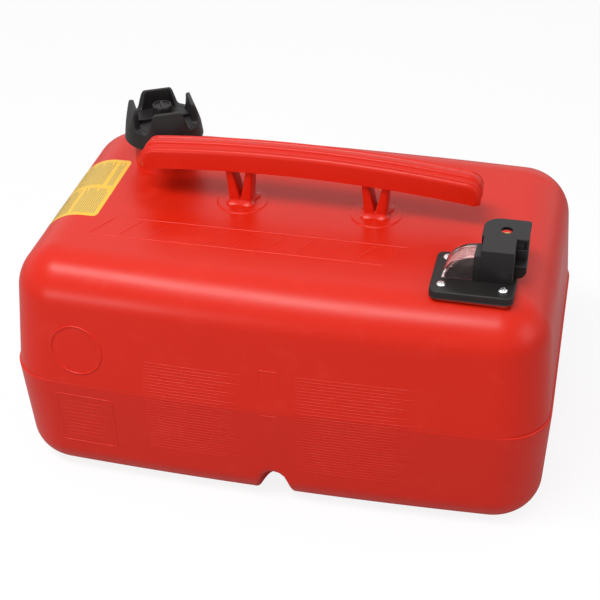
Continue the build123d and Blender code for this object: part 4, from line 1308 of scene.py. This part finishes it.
# ------------------------------------------------------------------ gauge and outlet unit
@dataclass
class GaugeUnit:
    """Flange with the gauge window, the outlet housing and the latch plate. Millimetres."""

    x: float = 166.0
    y: float = -91.0
    flange: Pair = (34.5, 31.0)
    foot: float = 224.2
    top: float = 230.2
    latch: float = 260.0
    latch_hole: tuple = (187.75, -65.5, 5.0)
    housing: tuple = ((165.5, 171.5, -101.25, -80.75, 229.0, 254.6, 0.8, 0.6),
                      (168.5, 172.5, -77, -61.5, 236.0, 258.5, 0.8, 0.6),
                      (203.0, 207.0, -77, -61.5, 236.0, 258.5, 0.8, 0.6),
                      (170.0, 205.0, -77, -73.0, 236.0, 258.0, 0.4, 0.4),
                      (196.5, 206.4, -78.5, -74.5, 232.0, 250.2, 0.6, 0.6))
    pointer_slots: tuple = ((142.4, 165.2, -99.2, -82.8, 222, 232, 0.6, 0.1),
                            (142.4, 170.0, -97.0, -85.0, 222, 228.7, 0.6, 0.1))
    window: tuple = (165.5, -101.25, -80.75)
    window_r: float = 26.0
    window_wall: float = 2.0
    window_sunk: float = 2.2
    liner_r: float = 21.6
    band_r: Pair = (23.2, 23.6)
    boss: tuple = (196.5, 207.4, -88.5, -74.0)
    tongue: tuple = (168.5, 207, -78, -47.5)
    block: tuple = (170.5, 197.5, -101, -76)
    tick_turns: tuple = (30, 41, 52, 63, 74)
    screws_at: tuple = ((-25.0, -20.5, 20), (25.0, -20.5, 50), (25.0, 20.5, 5), (-25.0, 20.5, 70))

    def base(self, finish: Finishes) -> None:
        """Flange, housing, cheek, latch plate, hood and stepped shoulder.

        Args:
            finish: Finishes of the tank.
        """
        x, y, (dx, dy), top, latch = self.x, self.y, self.flange, self.top, self.latch
        loop = rounded(box(x - dx, x + dx, y - dy, y + dy), 7.0, 8)
        flange = plate(loop, self.foot, top, Along.Z, 0.3, 1.3, 4).part("gauge_flange", finish.black)
        carve(flange, *(slab(*sizes) for sizes in self.pointer_slots))
        settle(flange, Body.TANK, Slot.BLACK, "sender_base")
        x0, x1, y0, y1 = self.boss
        boss = rounded(box(x0, x1, top - 2, top + 10.5), [0.5, 8.0, 1.0, 0.5], 8)
        body = joined(slab(*sizes) for sizes in self.housing) + plate(boss, y0, y1, Along.Y, 0.8, 0.8)
        settle(body.part("outlet_housing", finish.black), Body.TANK, Slot.BLACK)
        loop = rounded(box(*self.tongue), [1.0, 1.0, 3.0, 14.0], 10)
        tongue = plate(loop, latch - 3.0, latch, Along.Z, 0.4, 0.6, 3).part("latch_plate", finish.black)
        hx, hy, hr = self.latch_hole
        carve(tongue, lathe([(0, latch - 5), (hr, latch - 5), (hr, latch + 2), (0, latch + 2)], 48, hx, hy))
        carve(tongue, slab(*self.block, top - 1.2, latch, 1.2, 0.6), way="UNION")
        settle(tongue, Body.TANK, Slot.BLACK)

    def outline(self, radius: float, floor: float, reach: float) -> np.ndarray:
        """Side outline of the window.

        Args:
            radius: Radius of the quarter round.
            floor: Height of the lower edge.
            reach: How far it runs past the window's right end.

        Returns:
            Counter-clockwise (x, z) points.
        """
        right, centre = self.window[0], self.top - self.window_sunk
        a0, a1 = math.asin((floor - centre) / radius), math.acos(max(-reach, 0.0) / radius)
        arc = [(right - radius * math.cos(a), centre + radius * math.sin(a)) for a in np.linspace(a1, a0, 40)]
        corner = [(right + reach, centre + radius)] if reach > 0 else []
        return np.array([(right + reach, floor)] + corner + arc)

    def lens(self, finish: Finishes) -> None:
        """Quarter-round clear window with its liner, frosted band and scale ticks.

        Args:
            finish: Finishes of the tank.
        """
        (right, y0, y1), top, r, wall = self.window, self.top, self.window_r, self.window_wall
        centre, (low, high) = top - self.window_sunk, self.band_r
        shape = plate(self.outline(r, top + 0.02, 0.0), y0, y1, Along.Y, 0.9, 0.9, 4)
        outer = shape.part("gauge_window", finish.clear)
        carve(outer, plate(self.outline(r - wall, top - 1.5, 2.0), y0 + wall, y1 - wall, Along.Y,
                           0.3, 0.3, 2))
        settle(outer, Body.TANK, Slot.CLEAR, "gauge_lens")
        liner = plate(self.outline(self.liner_r, top + 0.05, -0.6), y0 + 2.3, y0 + 3.1, Along.Y, 0.2, 0.2, 2)
        settle(liner.part("gauge_liner", finish.black), Body.TANK, Slot.BLACK)
        section = ((high, y0 + 2.4), (high, y1 - 2.4), (low, y1 - 2.4), (low, y0 + 2.4))
        rings = [np.array([(right - r * math.cos(a), y, centre + r * math.sin(a)) for r, y in section])
                 for a in np.linspace(math.radians(14), QUARTER, 30)]
        settle(skin(rings).part("gauge_band", finish.pink_painted_frost), Body.TANK, Slot.CLEAR)
        ticks = []
        for n, turn in enumerate(self.tick_turns):
            half = 2.5 if n % 2 else 3.75
            tick = slab(-0.35, 0.35, -half, half, 23.55, 23.85, 0.1, 0.05).turned(turn - 90, "Y")
            ticks.append(tick.moved(right, (y0 + y1) / 2, centre))
        settle(joined(ticks).part("gauge_ticks", finish.white), Body.TANK, Slot.WHITE)

    def screws(self, finish: Finishes) -> None:
        """Four pan-head screws with cross recesses.

        Args:
            finish: Finishes of the tank.
        """
        dome = [(0.0, 2.7)]
        dome += [(3.9 * math.sin(a), 0.8 + 1.9 * math.cos(a)) for a in np.linspace(0.12, QUARTER, 10)]
        dome += [(3.9, 0.5), (3.7, 0.0), (2.4, 0.0), (2.4, -14.5), (1.6, -15.0), (0, -15.0)]
        blade = slab(-2.5, 2.5, -0.55, 0.55, 1.4, 4.0, 0.2, 0.05)
        for n, (dx, dy, spin) in enumerate(self.screws_at):
            at = (self.x + dx, self.y + dy, self.top)
            piece = lathe(dome, 48).moved(*at).part(f"gauge_screw_{n + 1}", finish.screw)
            carve(piece, *(blade.turned(spin + extra).moved(*at) for extra in (0, 90)))
            settle(piece, Body.TANK, Slot.SCREW, *(() if n else ("sender_screws",)))

    def build(self, finish: Finishes) -> None:
        """Builds every piece of the unit.

        Args:
            finish: Finishes of the tank.
        """
        self.base(finish)
        self.lens(finish)
        self.screws(finish)


# ------------------------------------------------------------------ sticker
@dataclass
class Sticker:
    """Plain yellow film with blank ruled rows, laid over the end of the deck. Millimetres."""

    shell: TankShell
    right: float = -177.2
    y0: float = -51.8
    y1: float = 51.4
    down: float = 92.0
    lift: float = 0.12
    corner: float = 4.0
    first_row: float = 4.5
    rows: int = 44
    row_pitch: float = 1.9
    row_width: float = 0.75

    def surface(self, along: float, y: float, lift: float) -> np.ndarray:
        """Point over the shell at a distance from the right edge.

        Args:
            along: Distance from the right edge over the rounding, in millimetres.
            y: Place across.
            lift: Height over the shell.

        Returns:
            The point.
        """
        s = self.shell
        r, span = s.deck_round, s.height - s.parting
        slope = s.lean_top[0] / span
        tilt = math.atan(slope)
        flat_end = slope * (span - r) + r / math.cos(tilt) - s.half_length
        past = along - (self.right - flat_end)
        a = min(max(past / r, 0.0), QUARTER - tilt)
        rest = max(past - r * (QUARTER - tilt), 0.0)
        return np.array([flat_end - min(past, 0.0) - (r + lift) * math.sin(a) - rest * math.sin(tilt), y,
                         s.height - r + (r + lift) * math.cos(a) - rest * math.cos(tilt)])

    def sheet(self, a0: float, a1: float, y0: float, y1: float, lift: float, corner: float) -> Shape:
        """Lays a strip of film over the shell.

        Args:
            a0: Distance of the first edge from the film's right edge.
            a1: Distance of the last edge.
            y0: Near end.
            y1: Far end.
            lift: Height over the shell.
            corner: Radius of the corners.

        Returns:
            The strip.
        """
        grid = []
        for a in np.linspace(a0, a1, max(2, int(abs(a1 - a0) / 1.6) + 1)):
            near = min(a - a0, a1 - a, corner)
            pull = corner - math.sqrt(max(corner ** 2 - (corner - near) ** 2, 0.0))
            grid.append(np.array([self.surface(a, y, lift) for y in np.linspace(y0 + pull, y1 - pull, 16)]))
        return skin(grid, False, False)

    def build(self, finish: Finishes) -> None:
        """Builds the film and its ruling.

        Args:
            finish: Finishes of the tank.
        """
        film = self.sheet(0, self.down, self.y0, self.y1, self.lift, self.corner)
        settle(film.part("blank_label", finish.film), Body.TANK, Slot.WHITE)
        rules = []
        for column, (low, high) in enumerate(((self.y0 + 5, -3.0), (3.0, self.y1 - 5))):
            for n in range(self.rows):
                if (n + 9 * column) % 19 in (12, 13):
                    continue
                a, end = self.first_row + n * self.row_pitch, high - 6.0 * ((n * 7 + column * 3) % 5 == 0)
                rules.append(self.sheet(a, a + self.row_width, low, end, self.lift + 0.05, 0.0))
        settle(joined(rules).part("label_ruling", finish.ruling), Body.TANK, Slot.BLACK)


# ------------------------------------------------------------------ carried-over solids
class PackedSolids:
    """Solids that keep their own shape and only take a finish."""

    def build(self, finish: Finishes) -> None:
        """Dresses each solid.

        Args:
            finish: Finishes of the tank.
        """
        for material, nodes in (
                (finish.rubber, ("cap_gasket", "vent_seal", "sender_gasket", "tube_ring", "outlet_ring")),
                (finish.white, ("vent_clip", "float_hub", "pickup_strainer")),
                (finish.brass, ("thread_inserts", "pickup_tube", "outlet_plug")),
                (finish.wire, ("pivot_pin", "pivot_clip", "float_arm", "float_clips")),
                (finish.signal, ("gauge_pointer",)), (finish.foam, ("gauge_float",))):
            for node in nodes:
                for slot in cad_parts[node].material_slots:
                    slot.link = "OBJECT"
                    slot.material = material
                LOG.info("%s: dressed", node)


# ------------------------------------------------------------------ studio
def stand(axes: Sequence[np.ndarray], place: Sequence[float]) -> Matrix:
    """Matrix of three axes and a place in metres."""
    return Matrix([[*(axis[i] for axis in axes), place[i]] for i in range(3)] + [[0, 0, 0, 1]])


@dataclass(frozen=True)
class SoftBox:
    """Rectangular lamp, in metres and watts, that faces a point."""

    name: str
    place: tuple
    aim: tuple
    size: Pair
    power: float

    def build(self) -> None:
        """Adds the lamp."""
        data = bpy.data.lights.new(self.name, "AREA")
        data.shape, data.size, data.size_y, data.energy = "RECTANGLE", *self.size, self.power
        back = unit(np.array(self.place) - np.array(self.aim))
        side = unit(np.cross([0.0, 0.0, 1.0], back))
        linked(self.name, data).matrix_world = stand((side, np.cross(back, side), back), self.place)


@dataclass(frozen=True)
class Studio:
    """White table, soft lamps and the camera."""

    focal_px: float = 1392.885
    frame_px: float = 600.0
    sensor: float = 36.0
    camera_mm: tuple = (248.45, -1049.22, 864.61)
    yaw: float = -0.236
    pitch: float = 0.6041
    tilt: float = -0.0211
    table: float = 6.0
    lamps: tuple = (SoftBox("overhead_box", (0.10, 0.70, 1.60), (0.0, 0.0, 0.15), (2.2, 1.4), 4.0),
                    SoftBox("high_front_box", (-0.48, -0.93, 2.00), (0.0, 0.0, 0.15), (1.7, 0.40), 38.0),
                    SoftBox("low_left_box", (-0.95, -1.75, 0.44), (-0.1, -0.1, 0.20), (0.6, 0.20), 5.0),
                    SoftBox("right_fill", (1.6, -0.5, 0.8), (0.0, 0.0, 0.12), (0.8, 0.8), 5.0))

    def camera(self) -> None:
        """Places the camera."""
        data = bpy.data.cameras.new("view")
        data.sensor_width = self.sensor
        data.lens = self.focal_px / self.frame_px * self.sensor
        data.clip_end = 20.0
        cam = linked("view", data)
        cy, sy, cp, sp = math.cos(self.yaw), math.sin(self.yaw), math.cos(self.pitch), math.sin(self.pitch)
        ahead, right = np.array([sy * cp, cy * cp, -sp]), np.array([cy, -sy, 0.0])
        up = np.cross(right, ahead)
        c, s = math.cos(self.tilt), math.sin(self.tilt)
        cam.matrix_world = stand((c * right + s * up, c * up - s * right, -ahead),
                                 np.array(self.camera_mm) * MM)
        bpy.context.scene.camera = cam

    def floor(self) -> None:
        """Lays the white table, which the eye sees brighter than it is lit."""
        mesh = bpy.data.meshes.new("table_top")
        t = self.table
        mesh.from_pydata([(x, y, 0) for x, y in box(-t, t, -t, t)], [], [(0, 1, 2, 3)])
        table = linked("table_top", mesh)
        table.location.z = -0.0004
        g = Graph(bpy.data.materials.new("white_table"))
        paper = g.node("ShaderNodeBsdfDiffuse", {}, {"Color": (0.46, 0.46, 0.46, 1)})
        glow = g.node("ShaderNodeEmission", {}, {"Color": WHITE, "Strength": 1.20})
        seen = g.math("MAXIMUM", g.ray("Camera"), g.ray("Transmission"))
        g.close(g.fade(seen, paper, g.fade(0.72, paper, glow)))
        mesh.materials.append(g.owner)

    def sky(self) -> None:
        """White surroundings: full white to the eye, softer as light."""
        world = bpy.context.scene.world = bpy.data.worlds.new("studio")
        g = Graph(world)
        room, eye = (g.node("ShaderNodeBackground", {}, {"Color": WHITE, "Strength": s}) for s in (0.37, 1.0))
        seen = g.math("MAXIMUM", g.math("MAXIMUM", g.ray("Camera"), g.ray("Transmission")), g.ray("Glossy"))
        g.close(g.fade(seen, room, eye), "ShaderNodeOutputWorld")

    def build(self) -> None:
        """Sets the whole studio up."""
        bpy.context.scene.view_settings.view_transform = "Standard"
        self.floor()
        self.sky()
        for lamp in self.lamps:
            lamp.build()
        self.camera()


def main() -> None:
    """Builds the tank piece by piece."""
    logging.basicConfig(level=logging.INFO, format="%(message)s")
    finish = Finishes()
    shell = TankShell()
    for piece in (shell, Sticker(shell), CarryHandle(), FillerCap(), VentKnob(), GaugeUnit(), PackedSolids()):
        piece.build(finish)
        LOG.info("built %s", type(piece).__name__)
    Studio().build()


if __name__ == "__main__":
    main()
